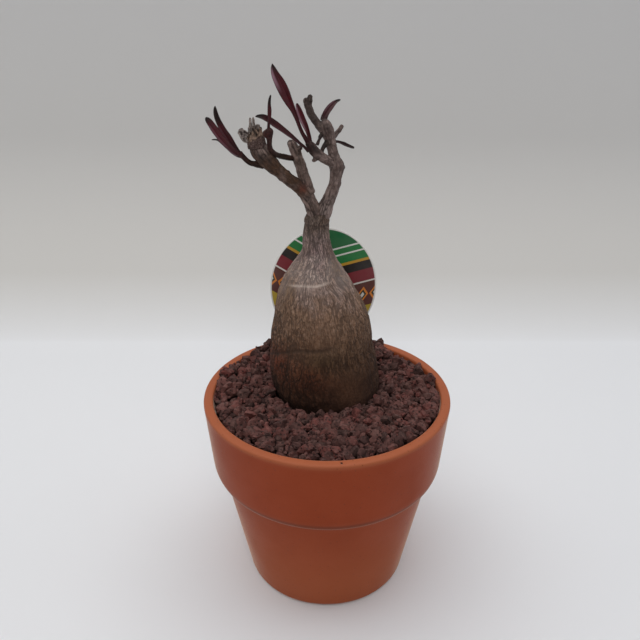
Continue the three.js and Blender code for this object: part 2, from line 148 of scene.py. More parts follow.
def circle(radius, angle):
    # the radius times the cosine, and times the sine, of the angle
    return radius * np.cos(angle), radius * np.sin(angle)


# Meshes

def addObject(name, data):
    item = bpy.data.objects.new(name, data)
    scene.collection.objects.link(item)
    return item


def newMesh(name, points, faces):
    mesh = bpy.data.meshes.new(name)
    mesh.from_pydata(points * mm, [], faces)
    return mesh


def addPiece(mesh, material, node):
    piece = addObject(mesh.name, mesh)
    mesh.materials.append(material)
    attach(piece, "root")
    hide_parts(node)


def addMark(mesh, name, values):
    # a value or a vector for each vertex, which the materials read by its name
    values = np.asarray(values, np.float32)
    kind, part = ("FLOAT", "value") if values.ndim == 1 else ("FLOAT_VECTOR", "vector")
    mesh.attributes.new(name, kind, "POINT").data.foreach_set(part, values.ravel())


def closedSurface(name, rings, marks, closedRows=False):
    # rings is rows x columns x 3. Every row closes on itself, and either the rows close in the same
    # way or a pole in the middle of the first and the last row closes the ends.
    rows, columns = rings.shape[:2]
    row = np.arange(rows if closedRows else rows - 1)[:, None] * columns
    column = np.arange(columns)
    ahead = (column + 1) % columns
    nextRow = (row + columns) % (rows * columns)
    faces = joined(row + column, row + ahead, nextRow + ahead, nextRow + column).reshape(-1, 4).tolist()
    marks = {key: np.asarray(value) for key, value in marks.items()}
    for key, value in marks.items():
        value = value if value.ndim == 3 else np.broadcast_to(value, (rows, columns))
        marks[key] = value.reshape(rows * columns, -1)
    points = rings.reshape(-1, 3)
    if not closedRows:
        first = rows * columns
        last = first - columns
        points = np.vstack([points, rings[0].mean(axis=0), rings[-1].mean(axis=0)])
        faces += joined(first, ahead, column).tolist()
        faces += joined(first + 1, last + column, last + ahead).tolist()
        for key, value in marks.items():
            marks[key] = np.vstack([value, value[:columns].mean(axis=0), value[last:].mean(axis=0)])
    mesh = newMesh(name, points, faces)
    mesh.shade_smooth()
    for key, value in marks.items():
        addMark(mesh, key, value[:, 0] if value.shape[1] == 1 else value)
    return mesh


# Shader nodes. A helper finds the node tree through the sockets that it is given.

def paint(code):
    # a colour written as #rrggbb on the screen, as the light values that shaders use
    screen = np.array([int(code[i:i + 2], 16) / 255 for i in (1, 3, 5)])
    light = np.where(screen > 0.04045, ((screen + 0.055) / 1.055) ** 2.4, screen / 12.92)
    return (*light.tolist(), 1.0)


def fill(node, inputs):
    # a socket is linked, a colour's code is painted and anything else is set
    for name, value in inputs.items():
        if isinstance(value, bpy.types.NodeSocket):
            node.id_data.links.new(value, node.inputs[name])
        else:
            node.inputs[name].default_value = paint(value) if isinstance(value, str) else value
    return node


def addNode(kind, inputs, tree=None, **settings):
    tree = tree or next(value.id_data for value in inputs.values() if isinstance(value, bpy.types.NodeSocket))
    node = tree.nodes.new("ShaderNode" + kind)
    for name, value in settings.items():
        setattr(node, name, value)
    return fill(node, inputs)


def compute(operation, *values):
    return addNode("Math", dict(enumerate((*values, 0, 0)[:3])), operation=operation).outputs[0]


def times(first, second):
    return compute("MULTIPLY", first, second)


def remap(value, fromLow, fromHigh, toLow=0, toHigh=1, kind="LINEAR"):
    inputs = {"Value": value, "From Min": fromLow, "From Max": fromHigh, "To Min": toLow, "To Max": toHigh}
    return addNode("MapRange", inputs, interpolation_type=kind).outputs["Result"]


def softMap(*values):
    return remap(*values, kind="SMOOTHSTEP")


def vectorMath(operation, *values):
    return addNode("VectorMath", dict(enumerate(values)), operation=operation).outputs


def mix(colour, *layers, blend="MIX"):
    # each layer is (share, colour) and lies over the ones before it
    for share, over in layers:
        colour = addNode("Mix", {0: share, 6: colour, 7: over}, data_type="RGBA", blend_type=blend).outputs[2]
    return colour


def colourRamp(value, stops, kind="LINEAR"):
    # stops are {place from 0 to 1: colour}
    node = addNode("ValToRGB", {0: value})
    elements = node.color_ramp.elements
    node.color_ramp.interpolation = kind
    while len(elements) < len(stops):
        elements.new(1.0)
    for element, (place, code) in zip(elements, stops.items()):
        element.position = place
        element.color = paint(code)
    return node.outputs["Color"]


def noiseTexture(vector, scale, detail=3, roughness=0.55, distortion=0):
    inputs = {
        "Vector": vector, "Scale": scale, "Detail": detail, "Roughness": roughness, "Distortion": distortion,
    }
    return addNode("TexNoise", inputs).outputs["Fac"]


def readMark(tree, name, strength=None):
    value = addNode("Attribute", {}, tree, attribute_name=name).outputs["Fac"]
    return times(value, strength) if strength else value


def readVector(tree, name):
    return addNode("Attribute", {}, tree, attribute_name=name).outputs["Vector"]


def facing(tree):
    # which way the surface faces
    return addNode("NewGeometry", {}, tree).outputs["Normal"]


def placeAlong(vector, axis):
    return addNode("SeparateXYZ", {0: vector}).outputs[axis]


def newMaterial(name):
    # also gives its node tree, and the place on the object in millimetres
    material = bpy.data.materials.new(name)
    material.use_nodes = True
    tree = material.node_tree
    place = addNode("TexCoord", {}, tree).outputs["Object"]
    return material, tree, addNode("VectorMath", {0: place, "Scale": 1 / mm}, operation="SCALE").outputs[0]


def finishMaterial(material, colour, roughness, height=None, depth=0, specular=0.5, others=None):
    # depth is the millimetres between a height of 0 and 1
    inputs = {"Base Color": colour, "Roughness": roughness, "Specular IOR Level": specular, **(others or {})}
    if height:
        inputs["Normal"] = addNode("Bump", {"Height": height, "Distance": depth * mm}).outputs["Normal"]
    fill(material.node_tree.nodes["Principled BSDF"], inputs)
    return material


def newGroup(name, inputs, outputs):
    # inputs are {name: starting value}; of the outputs, only Colour is more than a number
    group = bpy.data.node_groups.new(name, "ShaderNodeTree")
    kinds = {1: "NodeSocketFloat", 3: "NodeSocketVector", 4: "NodeSocketColor"}
    for key, start in inputs.items():
        socket = group.interface.new_socket(key, in_out="INPUT", socket_type=kinds[np.size(start)])
        socket.default_value = start
    for key in outputs:
        group.interface.new_socket(key, in_out="OUTPUT", socket_type=kinds[4 if key == "Colour" else 1])
    return group.nodes.new("NodeGroupInput").outputs, group.nodes.new("NodeGroupOutput")


def placeGroup(group, *values):
    # values in the order of the group's inputs
    return addNode("Group", dict(enumerate(values)), node_tree=group).outputs


def inverse(value):
    return compute("DIVIDE", 1, value)


def drawnOut(vector, stretch):
    # the third axis is squeezed, so a noise on it is stretched
    shape = addNode("CombineXYZ", {0: 1, 1: 1, 2: inverse(stretch)}).outputs[0]
    return vectorMath("MULTIPLY", vector, shape)[0]


def makeToneGroup():
    # Drifts a colour towards a second one in soft patches.
    grey = (0.5, 0.5, 0.5, 1)
    starts = {"Vector": (0, 0, 0), "Colour": grey, "Second Colour": grey, "Patch Size": 10, "Amount": 0.3}
    given, out = newGroup("toneDrift", starts, ("Colour", "Mask"))
    mask = softMap(noiseTexture(given["Vector"], inverse(given["Patch Size"]), 4, 0.6), 0.35, 0.65)
    mixed = mix(given["Colour"], (times(mask, given["Amount"]), given["Second Colour"]))
    return fill(out, {"Colour": mixed, "Mask": mask}).id_data


def makeGrainGroup():
    # Mineral grain: fine sand over small round pits. Height runs from 0 in a pit to about 1.
    starts = {"Vector": (0, 0, 0), "Sand Size": 0.3, "Pit Size": 1, "Pit Share": 0.3}
    given, out = newGroup("mineralGrain", starts, ("Height", "Pits", "Sand"))
    sand = noiseTexture(given["Vector"], inverse(given["Sand Size"]), 2, 0.7)
    cells = addNode("TexVoronoi", {"Vector": given["Vector"], "Scale": inverse(given["Pit Size"])})
    edge = compute("ADD", given["Pit Share"], 0.08)
    pits = softMap(cells.outputs["Distance"], edge, given["Pit Share"])
    height = compute("MULTIPLY_ADD", sand, 0.4, times(compute("SUBTRACT", 1, pits), 0.6))
    return fill(out, {"Height": height, "Pits": pits, "Sand": sand}).id_data


def makeFibreGroup():
    # Fibres along the third axis of the given vector: two layers of noise, drawn out lengthways.
    starts = {"Vector": (0, 0, 0), "Fibre Width": 0.4, "Stretch": 6}
    given, out = newGroup("fibreGrain", starts, ("Height", "Streaks"))
    drawn = drawnOut(given["Vector"], given["Stretch"])
    scale = inverse(given["Fibre Width"])
    fine = noiseTexture(drawn, scale, 3, 0.65, 0.3)
    streaks = softMap(noiseTexture(drawn, times(scale, 0.3), 2), 0.35, 0.65)
    height = compute("MULTIPLY_ADD", fine, 0.6, times(streaks, 0.4))
    return fill(out, {"Height": height, "Streaks": streaks}).id_data


def makeWrinkleGroup():
    # Short wrinkles drawn out along the third axis: one runs wherever a noise crosses its middle value.
    starts = {"Vector": (0, 0, 0), "Width": 1, "Stretch": 3}
    given, out = newGroup("wrinkleLines", starts, ("Groove", "Grain"))
    drawn = drawnOut(given["Vector"], given["Stretch"])
    scale = inverse(given["Width"])
    lines = []
    for ratio, reach, depth in ((0.45, 0.036, 1), (1, 0.055, 0.85)):
        field = noiseTexture(drawn, times(scale, ratio), 1.5, distortion=0.4)
        away = compute("ABSOLUTE", compute("SUBTRACT", field, 0.5))
        lines.append(softMap(away, reach, 0.3 * reach, 0, depth))
    grain = noiseTexture(given["Vector"], times(scale, 1.1), 3, 0.7)
    return fill(out, {"Groove": compute("MAXIMUM", *lines), "Grain": grain}).id_data


def makeDustGroup():
    # Pale dust that settles on what faces up, thicker where a broad noise is high.
    starts = {
        "Vector": (0, 0, 0), "Facing": (0, 0, 1), "Colour": (0.5, 0.5, 0.5, 1),
        "Dust Colour": (0.5, 0.45, 0.4, 1), "Amount": 0.3, "Patch Size": 2,
    }
    given, out = newGroup("settledDust", starts, ("Colour", "Dust"))
    upward = remap(placeAlong(given["Facing"], "Z"), 0.1, 0.95)
    patches = remap(noiseTexture(given["Vector"], inverse(given["Patch Size"])), 0.35, 0.7)
    dust = times(times(upward, patches), given["Amount"])
    return fill(out, {"Colour": mix(given["Colour"], (dust, given["Dust Colour"])), "Dust": dust}).id_data


toneDrift = makeToneGroup()
mineralGrain = makeGrainGroup()
fibreGrain = makeFibreGroup()
wrinkleLines = makeWrinkleGroup()
settledDust = makeDustGroup()


# Camera, floor and light

viewer = {
    "place": (-3.4, -294.1, 282.1),
    "lookDown": 25.87,  # degrees below the horizon
    "lens": 39.375,
    "sensor": 36,
}
studio = {
    "halfWidth": 1500,
    "floorFront": -1500,
    "bendStart": 226,  # where the floor starts to turn up behind the pot
    "bendRadius": 150,
    "bendRows": 24,
    "wallTop": 1600,
    "columns": 9,
    "paper": "#e9eaec",
    "paperWallShaded": "#cccac6",  # painted shade: the wall is a little greyer and warmer than the floor
    "paperHighShaded": "#bbbbbc",
    "world": "#dfe3ea",
    "worldStrength": 0.23,
}
lamps = {
    # name: (place, point it shines at, width, height, watts, colour)
    "overhead": ((-40, 70, 900), (0, 0, 100), 1200, 900, 6.3, "#ffffff"),
    "leftPanel": ((-750, 60, 380), (0, 0, 110), 600, 700, 0.92, "#fbfaf8"),
    "rightPanel": ((750, 60, 380), (0, 0, 110), 600, 700, 0.95, "#f8faff"),
    "frontFill": ((0, -800, 700), (0, 0, 130), 500, 400, 1.95, "#fffaf5"),
}


def setPlace(holder, place, turn):
    holder.location = np.array(place) * mm
    holder.rotation_euler = turn


def makeCamera():
    camera = bpy.data.cameras.new("camera")
    camera.lens = viewer["lens"]
    camera.sensor_width = viewer["sensor"]
    camera.clip_start = 0.01
    scene.camera = addObject("camera", camera)
    setPlace(scene.camera, viewer["place"], (math.radians(90 - viewer["lookDown"]), 0, 0))


def makeStage():
    # a sheet of paper: flat floor, a quarter circle, then an upright wall, carried straight across
    bend = np.linspace(0, math.pi / 2, studio["bendRows"])
    radius = studio["bendRadius"]
    run = np.concatenate([[studio["floorFront"]], studio["bendStart"] + radius * np.sin(bend)])
    run = np.append(run, run[-1])[:, None]
    rise = np.concatenate([[0], radius * (1 - np.cos(bend)), [studio["wallTop"]]])[:, None]
    grid = joined(np.linspace(-studio["halfWidth"], studio["halfWidth"], studio["columns"]), run, rise)
    rows, columns = grid.shape[:2]
    first = (np.arange(rows - 1)[:, None] * columns + np.arange(columns - 1)).ravel()
    faces = joined(first, first + 1, first + columns + 1, first + columns)
    mesh = newMesh("paper", grid.reshape(-1, 3), faces.tolist())
    mesh.shade_smooth()
    material, _, place = newMaterial("paper")
    height = placeAlong(place, "Z")
    # painted shade: the paper turns to the wall's greyer colour just above the floor, and darkens further up
    # the wall
    wall = mix(studio["paperWallShaded"], (remap(height, 60, 420), studio["paperHighShaded"]))
    share = compute("SQRT", remap(height, 1, 34))
    mesh.materials.append(finishMaterial(material, mix(studio["paper"], (share, wall)), 0.9))
    addObject("paper", mesh)


def makeLamps():
    for name, (place, target, width, height, watts, colour) in lamps.items():
        lamp = bpy.data.lights.new(name, "AREA")
        lamp.shape = "RECTANGLE"
        lamp.size = width * mm
        lamp.size_y = height * mm
        lamp.energy = watts
        lamp.color = paint(colour)[:3]
        # a lamp shines along its own -Z, turned to face the target
        x, y, z = np.array(target, float) - place
        setPlace(addObject(name, lamp), place, (math.atan2(math.hypot(x, y), -z), 0, math.atan2(-x, y)))
    world = bpy.data.worlds.new("room")
    world.use_nodes = True
    fill(world.node_tree.nodes["Background"], {"Color": studio["world"], "Strength": studio["worldStrength"]})
    scene.world = world
    scene.view_settings.view_transform = "Standard"


makeCamera()
makeStage()
makeLamps()
print("camera, floor and lamps made")


# The pot

potBox = boxOf("pot")
pot = {
    "height": potBox[1][2],
    "rimRadius": potBox[1][0],
    "rimWall": 4.7,
    "rimEdge": 1.4,
    # radius and height of the band's lower edge, of the body's top and of the foot's edge
    "band": (57.3, 68.0),
    "body": (52.2, 59.0),
    "foot": (41.4, 2.5),
    "floor": 6,
    "drainRadius": 10,
    "innerShoulder": (48.5, 66.0),
    "innerFloorRadius": 37.2,
    "columns": 320,
    "clay": "#92360a",
    # the rubbed edges' pale colour is partly wear and partly a painted highlight
    "clayWornAndLit": "#a45a3a",
    "clayDeep": "#7e2d0e",
    "clayLit": "#a5552f",  # painted light: the body is lighter towards its foot, as from light thrown up off the floor
    "chip": (5.6, -57.6, 101.0),  # a dark fleck on the front of the rim
}


def curve(count, *points):
    # a Bezier curve: neighbouring control points are mixed by t again and again until one is left
    t = np.linspace(0, 1, count, endpoint=False)[:, None]
    layers = [np.array(point, float) * np.ones_like(t) for point in points]
    while len(layers) > 1:
        layers = [a * (1 - t) + b * t for a, b in zip(layers, layers[1:])]
    return layers[0]


def potOutline():
    # the wall's section as [radius, height], from the drain hole out, up, over the rim and back down inside;
    # each stretch is its number of points and the control points that follow the last stretch's end
    keys = ("height", "rimRadius", "rimEdge", "floor", "drainRadius")
    top, rim, edge, floor, drain = (pot[key] for key in keys)
    mouth = rim - pot["rimWall"]
    foot = pot["foot"][0]
    inner = pot["innerFloorRadius"]
    body = pot["body"]
    band = pot["band"]
    end = (drain, 1)
    stretches = (
        (4, (drain, 0), (drain + 1, 0)),
        (10, (foot - 2.9, 0)),
        (8, (foot - 0.4, 0), pot["foot"]),
        (46, body),
        (22, (body[0] + 1.3, body[1] + 4.8), (band[0] - 0.9, band[1] - 7.4), band),
        (26, (rim, top - edge)),
        (7, (rim, top), (rim - edge, top)),
        (5, (mouth + edge, top)),
        (7, (mouth, top), (mouth, top - edge)),
        (18, pot["innerShoulder"]),
        (24, (inner, floor + 3)),
        (6, (inner - 1.2, floor), (inner - 4.2, floor)),
        (8, (drain + 1, floor)),
        (4, (drain, floor), (drain, floor - 1)),
        (3, (drain, 1)),
    )
    section = []
    for count, *points in stretches:
        section.append(curve(count, end, *points))
        end = points[-1]
    return np.vstack(section)


def makePotMaterial():
    material, tree, place = newMaterial("terracotta")
    tone = placeGroup(toneDrift, place, pot["clay"], pot["clayDeep"], 34, 0.35)
    grain = placeGroup(mineralGrain, place, 0.28, 2.6, 0.07)
    height = placeAlong(place, "Z")
    # painted light: lighter towards the foot, as from the floor's bounce, and a little just under the band
    paintedBodyLight = compute("ADD", softMap(height, 62, 2, 0, 0.66), remap(height, 69, 61, 0, 0.12))
    # painted shade on the ledge under the band, which also dulls the sheen's bright line there
    underBandShade = times(remap(height, 59.5, 62, 0, 0.4), softMap(height, 66.9, 65.3))
    shape = vectorMath("MULTIPLY", vectorMath("SUBTRACT", place, pot["chip"])[0], (1, 0.7, 0.7))[0]
    distance = vectorMath("LENGTH", shape)["Value"]
    chipped = softMap(compute("MULTIPLY_ADD", noiseTexture(place, 2.2), 0.9, distance), 1.1, 0.85)
    shown = mix(
        tone["Colour"], (paintedBodyLight, pot["clayLit"]), (readMark(tree, "wornAndLit"), pot["clayWornAndLit"]),
        (remap(grain["Sand"], 0.3, 0.7, 0, 0.16), "#a85c38"), (times(grain["Pits"], 0.55), "#5d2f1d"),
        (underBandShade, "#40200f"), (chipped, "#4a2414"),
    )
    sheen = {"Sheen Weight": 0.5, "Sheen Roughness": 0.22, "Sheen Tint": "#fff3e0"}
    relief = compute("MULTIPLY_ADD", chipped, -2, grain["Height"])
    return finishMaterial(material, shown, remap(tone["Mask"], 0, 1, 0.5, 0.6), relief, 0.06, 0.19, sheen)


def makePot():
    # point = (radius * cos, radius * sin, height) of each angle, the radius drifting by 0.1 mm
    radius, height = potOutline().T[..., None]
    angle = turns(pot["columns"])
    radius = radius + np.minimum(0, 0.12 * noise(joined(*circle(2, angle), height / 30), 3) - 0.05)
    # edges that hands and shelves rub: the rim's two roundings and the foot, paler from wear and, on the rim,
    # from a painted highlight
    top = pot["height"]
    rubbedAndLit = ease(top - 3.2, top - 0.2, height) * (radius > pot["rimRadius"] - pot["rimWall"] - 2)
    wornAndLit = np.clip(rubbedAndLit + 0.6 * ease(3.5, 0.5, height) * (radius > pot["foot"][0] - 4), 0, 1)
    rings = joined(*circle(radius, angle), height)
    mesh = closedSurface("terracottaPot", rings, {"wornAndLit": wornAndLit}, True)
    addPiece(mesh, makePotMaterial(), "pot")


makePot()
print("pot made")


# The potting mix keeps its own solid, with a finish of its own

def finishPottingMix():
    material, _, place = newMaterial("pottingMix")
    grain = placeGroup(mineralGrain, place, 0.7, 2.4, 0.34)
    tone = placeGroup(toneDrift, place, "#2a1f18", "#4a372a", 5, 0.8)
    fibres = placeGroup(fibreGrain, place, 0.8, 3)
    bits = remap(fibres["Height"], 0.55, 0.75, 0, 0.5)
    dark = mix(tone["Colour"], (bits, "#6a513c"), (grain["Pits"], "#120c09"))
    finishMaterial(material, dark, remap(grain["Sand"], 0, 1, 0.85, 1), grain["Height"], 0.9)
    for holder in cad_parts["potting_mix"].material_slots:
        holder.material = material


finishPottingMix()
print("potting mix finished")


# The lava grit: a dark bed, and over it stones of three sizes

mouthRadius = pot["rimRadius"] - pot["rimWall"]
grit = {
    "atWall": 99.4,
    "atCaudex": 98.5,
    "heap": 3.2,  # how much higher it is heaped at the back
    "caudexCentre": (-0.4, 10.5),
    "caudexRadius": 26.2,
    "stake": (-7.0, 40.2),
    "bedColumns": 300,
    "bedRows": 46,
    # size name: (count, smallest, largest, lift above the bed, seed), with radii in mm
    "stones": {
        "coarse": (600, 2.0, 3.9, 0.3, 11),
        "middle": (1050, 1.2, 2.2, 0.3, 23),
        "fine": (1000, 0.5, 1.1, 0.2, 37),
    },
    "colours": ("#38201d", "#5f3c37", "#714640", "#482d29", "#743e38", "#5f423c", "#2c1a16"),
}


def gritHeight(x, y):
    # dished from the caudex to the wall, and heaped against the wall behind the caudex
    dish = ease(24, 52, np.hypot(x, y))
    level = grit["atCaudex"] * (1 - dish) + grit["atWall"] * dish
    heaped = ease(24, 46, y) * (1 - ease(30, 48, np.abs(x + 5)))
    leftSide = 0.75 * ease(34, 50, -x) * ease(-12, 14, y)
    return level + grit["heap"] * np.maximum(heaped, leftSide)


def makeLavaMaterial():
    # each stone has its own tone, from 0 to 1, as a mark; pores and dust lie over it,
    # and painted shade darkens what lies deep between the stones
    material, tree, place = newMaterial("lava")
    colours = grit["colours"]
    own = colourRamp(readMark(tree, "tone"), {i / (len(colours) - 1): code for i, code in enumerate(colours)})
    tone = placeGroup(toneDrift, place, own, "#201110", 1.8, 0.5)
    grain = placeGroup(mineralGrain, place, 0.35, 1.8, 0.24)
    pored = mix(tone["Colour"], (times(grain["Pits"], 0.8), "#140b0a"))
    dusted = placeGroup(settledDust, place, facing(tree), pored, "#8f6c65", 0.35, 2.5)
    shadedDeep = mix(dusted["Colour"], (readMark(tree, "deep", 0.9), "#140907"))
    return finishMaterial(material, shadedDeep, remap(grain["Sand"], 0.3, 0.7, 0.8, 1), grain["Height"], 0.5, 0.25)


def makeGritBed(material):
    # a ring between the caudex and the wall: the top follows gritHeight less 3.6 mm, with a rough of 1 mm,
    # and a flat underside closes it; the share s runs from 0 at the caudex to 1 at the wall
    share = shares(grit["bedRows"])
    around = np.array(circle(1, turns(grit["bedColumns"])))
    centre = np.array(grit["caudexCentre"])[:, None, None]
    inner = centre + (grit["caudexRadius"] - 1.5) * around
    x, y = (1 - share) * inner + share * (mouthRadius - 0.7) * around
    rough = joined(x, y, 0)
    lumps = 0.8 * noise(rough / 2.6, 5) + 0.4 * noise(rough / 1.1, 6)
    top = joined(x, y, np.minimum(gritHeight(x, y) - 3.6 + lumps, pot["height"] + 2))
    rings = np.concatenate([joined(x, y, boxOf("lava_grit")[0][2]), top[::-1]])
    # the bed lies wholly in painted shade
    addPiece(closedSurface("gritBed", rings, {"tone": 0.95, "deep": 1}, True), material, "lava_grit")


def stoneCorners():
    # the 42 corners and 80 faces of a ball of triangles
    ball = bmesh.new()
    bmesh.ops.create_icosphere(ball, subdivisions=2, radius=1)
    corners = np.array([corner.co for corner in ball.verts])
    faces = np.array([[corner.index for corner in face.verts] for face in ball.faces])
    ball.free()
    return corners, faces


def randomTurns(random, count):
    # a rotation matrix each, from a random unit quaternion w, x, y, z
    w, x, y, z = unit(random.normal(size=(count, 4))).T
    return np.stack([
        1 - 2 * (y * y + z * z), 2 * (x * y - z * w), 2 * (x * z + y * w),
        2 * (x * y + z * w), 1 - 2 * (x * x + z * z), 2 * (y * z - x * w),
        2 * (x * z - y * w), 2 * (y * z + x * w), 1 - 2 * (x * x + y * y),
    ], axis=-1).reshape(count, 3, 3)


def scatterPlaces(random, count, size):
    # a sunflower spiral over the mouth, radius = edge * sqrt(share), nudged at random, without the places
    # taken by the caudex and by the label's stake
    index = np.arange(count)
    reach = mouthRadius - 0.4 * size.max()
    goldenAngle = math.pi * (3 - math.sqrt(5))
    spiral = circle(reach * np.sqrt((index + 0.5) / count), index * goldenAngle + random.uniform(0, 6.3))
    x, y = (line + random.normal(0, 0.9, count) for line in spiral)
    # where the grit is heaped highest it spills on to the rim
    spill = 1 + 0.055 * ease(0.5, 1, (gritHeight(x, y) - grit["atWall"]) / grit["heap"])
    pull = spill * np.minimum(1, reach / np.hypot(x, y))
    x = x * pull
    y = y * pull
    centreX, centreY = grit["caudexCentre"]
    besideCaudex = np.hypot(x - centreX, y - centreY) > grit["caudexRadius"] + 0.35 * size
    stakeX, stakeY = grit["stake"]
    besideStake = (np.abs(x - stakeX) > 6.4 + 0.5 * size) | (np.abs(y - stakeY) > 0.6 + 0.8 * size)
    return x, y, besideCaudex & besideStake


def makeStones(name, material):
    # A stone is a ball cut by ten random planes: along a direction d its radius is the least of
    # h / (d . n) over the planes n that face d. It is then roughened, flattened, turned and placed.
    count, smallest, largest, lift, seed = grit["stones"][name]
    random = np.random.default_rng(seed)
    corners, faces = stoneCorners()
    size = random.uniform(smallest, largest, count)
    x, y, free = scatterPlaces(random, count, size)
    normals = unit(random.normal(size=(count, 10, 3)))
    depth = random.uniform(0.62, 0.95, (count, 1, 10))
    toward = np.einsum("ck,npk->ncp", corners, normals)
    radius = np.min(np.where(toward > 0.05, depth / np.maximum(toward, 0.05), 1.3), axis=2)
    shape = corners[None] * np.minimum(radius, 1.25)[..., None]
    rough = shape * 2.3 + random.uniform(-99, 99, (count, 1, 3))
    shape = shape * (1 + 0.16 * noise(rough, seed))[..., None]
    shape = shape * random.uniform(0.62, 1.15, (count, 1, 3)) * size[:, None, None]
    shape = np.einsum("nij,ncj->nci", randomTurns(random, count), shape)
    height = gritHeight(x, y) + lift + size * random.uniform(-0.8, 0.15, count)
    shape = (shape + joined(x, y, height)[:, None])[free]
    points = shape.reshape(-1, 3)
    # what stands over the rim's edge is drawn in, and nothing goes lower than the wall's top there
    wall = np.where(points[:, 2] < pot["height"] + 0.3, mouthRadius - 0.4, pot["rimRadius"] - 1)
    points[:, :2] *= np.minimum(1, wall / np.maximum(np.hypot(*points.T[:2]), 1e-6))[:, None]
    count = len(shape)
    index = faces + np.arange(count)[:, None, None] * len(corners)
    mesh = newMesh(name + "Stones", points, index.reshape(-1, 3).tolist())
    addMark(mesh, "tone", np.repeat(random.uniform(0, 1, count), len(corners)))
    # painted shade: stones darken where they lie below the grit's surface
    depth = gritHeight(points[:, 0], points[:, 1]) - points[:, 2]
    # the stones are also a little darker towards the front
    frontDarkening = 0.2 * ease(-22, -40, points[:, 1])
    addMark(mesh, "deep", np.maximum(frontDarkening, ease(-0.3, 1.5, depth)))
    addPiece(mesh, material, "lava_grit")


def makeGrit():
    material = makeLavaMaterial()
    makeGritBed(material)
    for name in grit["stones"]:
        makeStones(name, material)


makeGrit()
print("grit made")


# The caudex

caudex = {
    "centreY": 10.5,
    # height, radius and sideways shift of the axis, from the taproot's tip to the top of the neck
    "form": [
        (40, 1.2, 2.5), (50, 3.2, 2), (60, 6, 1.6), (70, 10.5, 1.3), (79, 16.5, 1.2), (87, 21.8, 1.1),
        (93, 24.8, 0.8), (98, 26.2, 0.4), (103, 26.9, -0.6), (109.5, 26.7, -1.6), (116.5, 26, -2.2),
        (122.5, 25, -2.8), (129, 24.4, -3), (137.5, 22.7, -3), (145, 20.6, -3.9), (151, 18.2, -4.9),
        (157.2, 15.3, -5.2), (162.2, 12.2, -5.3), (166.7, 9.1, -5), (170.5, 7.2, -4.6), (174.5, 6.5, -4.9),
        (178, 6.1, -5), (182, 5.7, -4.9), (184.6, 5.75, -4.7), (186.6, 5.35, -4.5), (188, 4.7, -4.3),
    ],
    "soil": 97,
    "columns": 360,
    "buriedRows": 16,
    "rows": 232,
    "ringHeight": 158.3,  # an old pale ring on the front
    "soilStain": 131,  # a dark crease runs round here, and drops to the left
    "neckFrom": 152,
    "neckTo": 170,
}


def caudexRows():
    # rows close together above the soil and wide apart below it, read from the form's table
    fine = spline(caudex["form"], 1200).T
    change = caudex["soil"] - 6
    levels = np.concatenate([
        np.linspace(fine[0, 0], change, caudex["buriedRows"], endpoint=False),
        np.linspace(change, caudex["form"][-1][0], caudex["rows"]),
    ])[:, None]
    return levels, np.interp(levels, fine[0], fine[1]), np.interp(levels, fine[0], fine[2])


def barkField(angle, length, radius, width, stretch, seed):
    # a place in noise space that wraps round a stem of the given radius: the axis is drawn out by stretch
    x, y = circle(radius, angle)
    return joined(x / width, y / width, length / stretch + seed * 17.0)


def makeCaudexMaterial():
    material, tree, place = newMaterial("caudexBark")
    height = placeAlong(place, "Z")
    wander = remap(noiseTexture(place, 0.11), 0.3, 0.7, -5, 5)
    own = colourRamp(remap(compute("ADD", height, wander), 95, 190), {
        0: "#321b14", 0.1: "#3d2518", 0.26: "#523420", 0.38: "#7b5c47", 0.52: "#957660", 0.58: "#a68876",
        0.64: "#c8aea3", 0.71: "#ddc8bf", 0.79: "#b9a09c", 0.9: "#9a867c", 1: "#786559",
    })
    tone = placeGroup(toneDrift, place, own, "#6e4e3b", 9, 0.3)
    # one set of wrinkles for the body and a finer one for the neck, which is a quarter as wide
    fibre = readVector(tree, "fibre")
    onBody = placeGroup(wrinkleLines, fibre, 1.25, 3.8)
    onNeck = placeGroup(wrinkleLines, vectorMath("MULTIPLY", fibre, (0.45, 0.45, 1))[0], 0.85, 4.2)
    higher = remap(height, 153, 160)
    groove, grain = (remap(higher, 0, 1, onBody[key], onNeck[key]) for key in ("Groove", "Grain"))
    shown = compute("SUBTRACT", 1, readMark(tree, "calm", 0.75))
    lines = times(groove, shown)
    shaded = mix(tone["Colour"], (remap(grain, 0.55, 0.4, 0, 0.5), "#a8988d"), blend="MULTIPLY")
    # painted highlight: the grain's crests are paler, more so higher up
    crestHighlight = times(times(remap(grain, 0.56, 0.68, 0, 0.32), shown), remap(height, 112, 150, 0.25, 1))
    dark = mix(own, (0.75, "#140b07"))
    # the dark patch on the front middle is partly painted shade
    ringed = mix(
        shaded, (crestHighlight, mix(own, (0.55, "#cfc5bd"))), (readMark(tree, "red", 0.8), "#743825"),
        (readMark(tree, "frontDarkPatch", 0.42), "#3a3a24"), (readMark(tree, "tan", 0.9), "#7c634c"),
        (times(lines, 0.92), dark), (readMark(tree, "groove", 0.88), dark),
        (readMark(tree, "ring"), "#d8c5b8"),
    )
    relief = compute("MULTIPLY_ADD", grain, 0.6, times(lines, -1))
    return finishMaterial(material, ringed, remap(grain, 0.3, 0.7, 0.9, 0.7), relief, 0.3, 0.25)


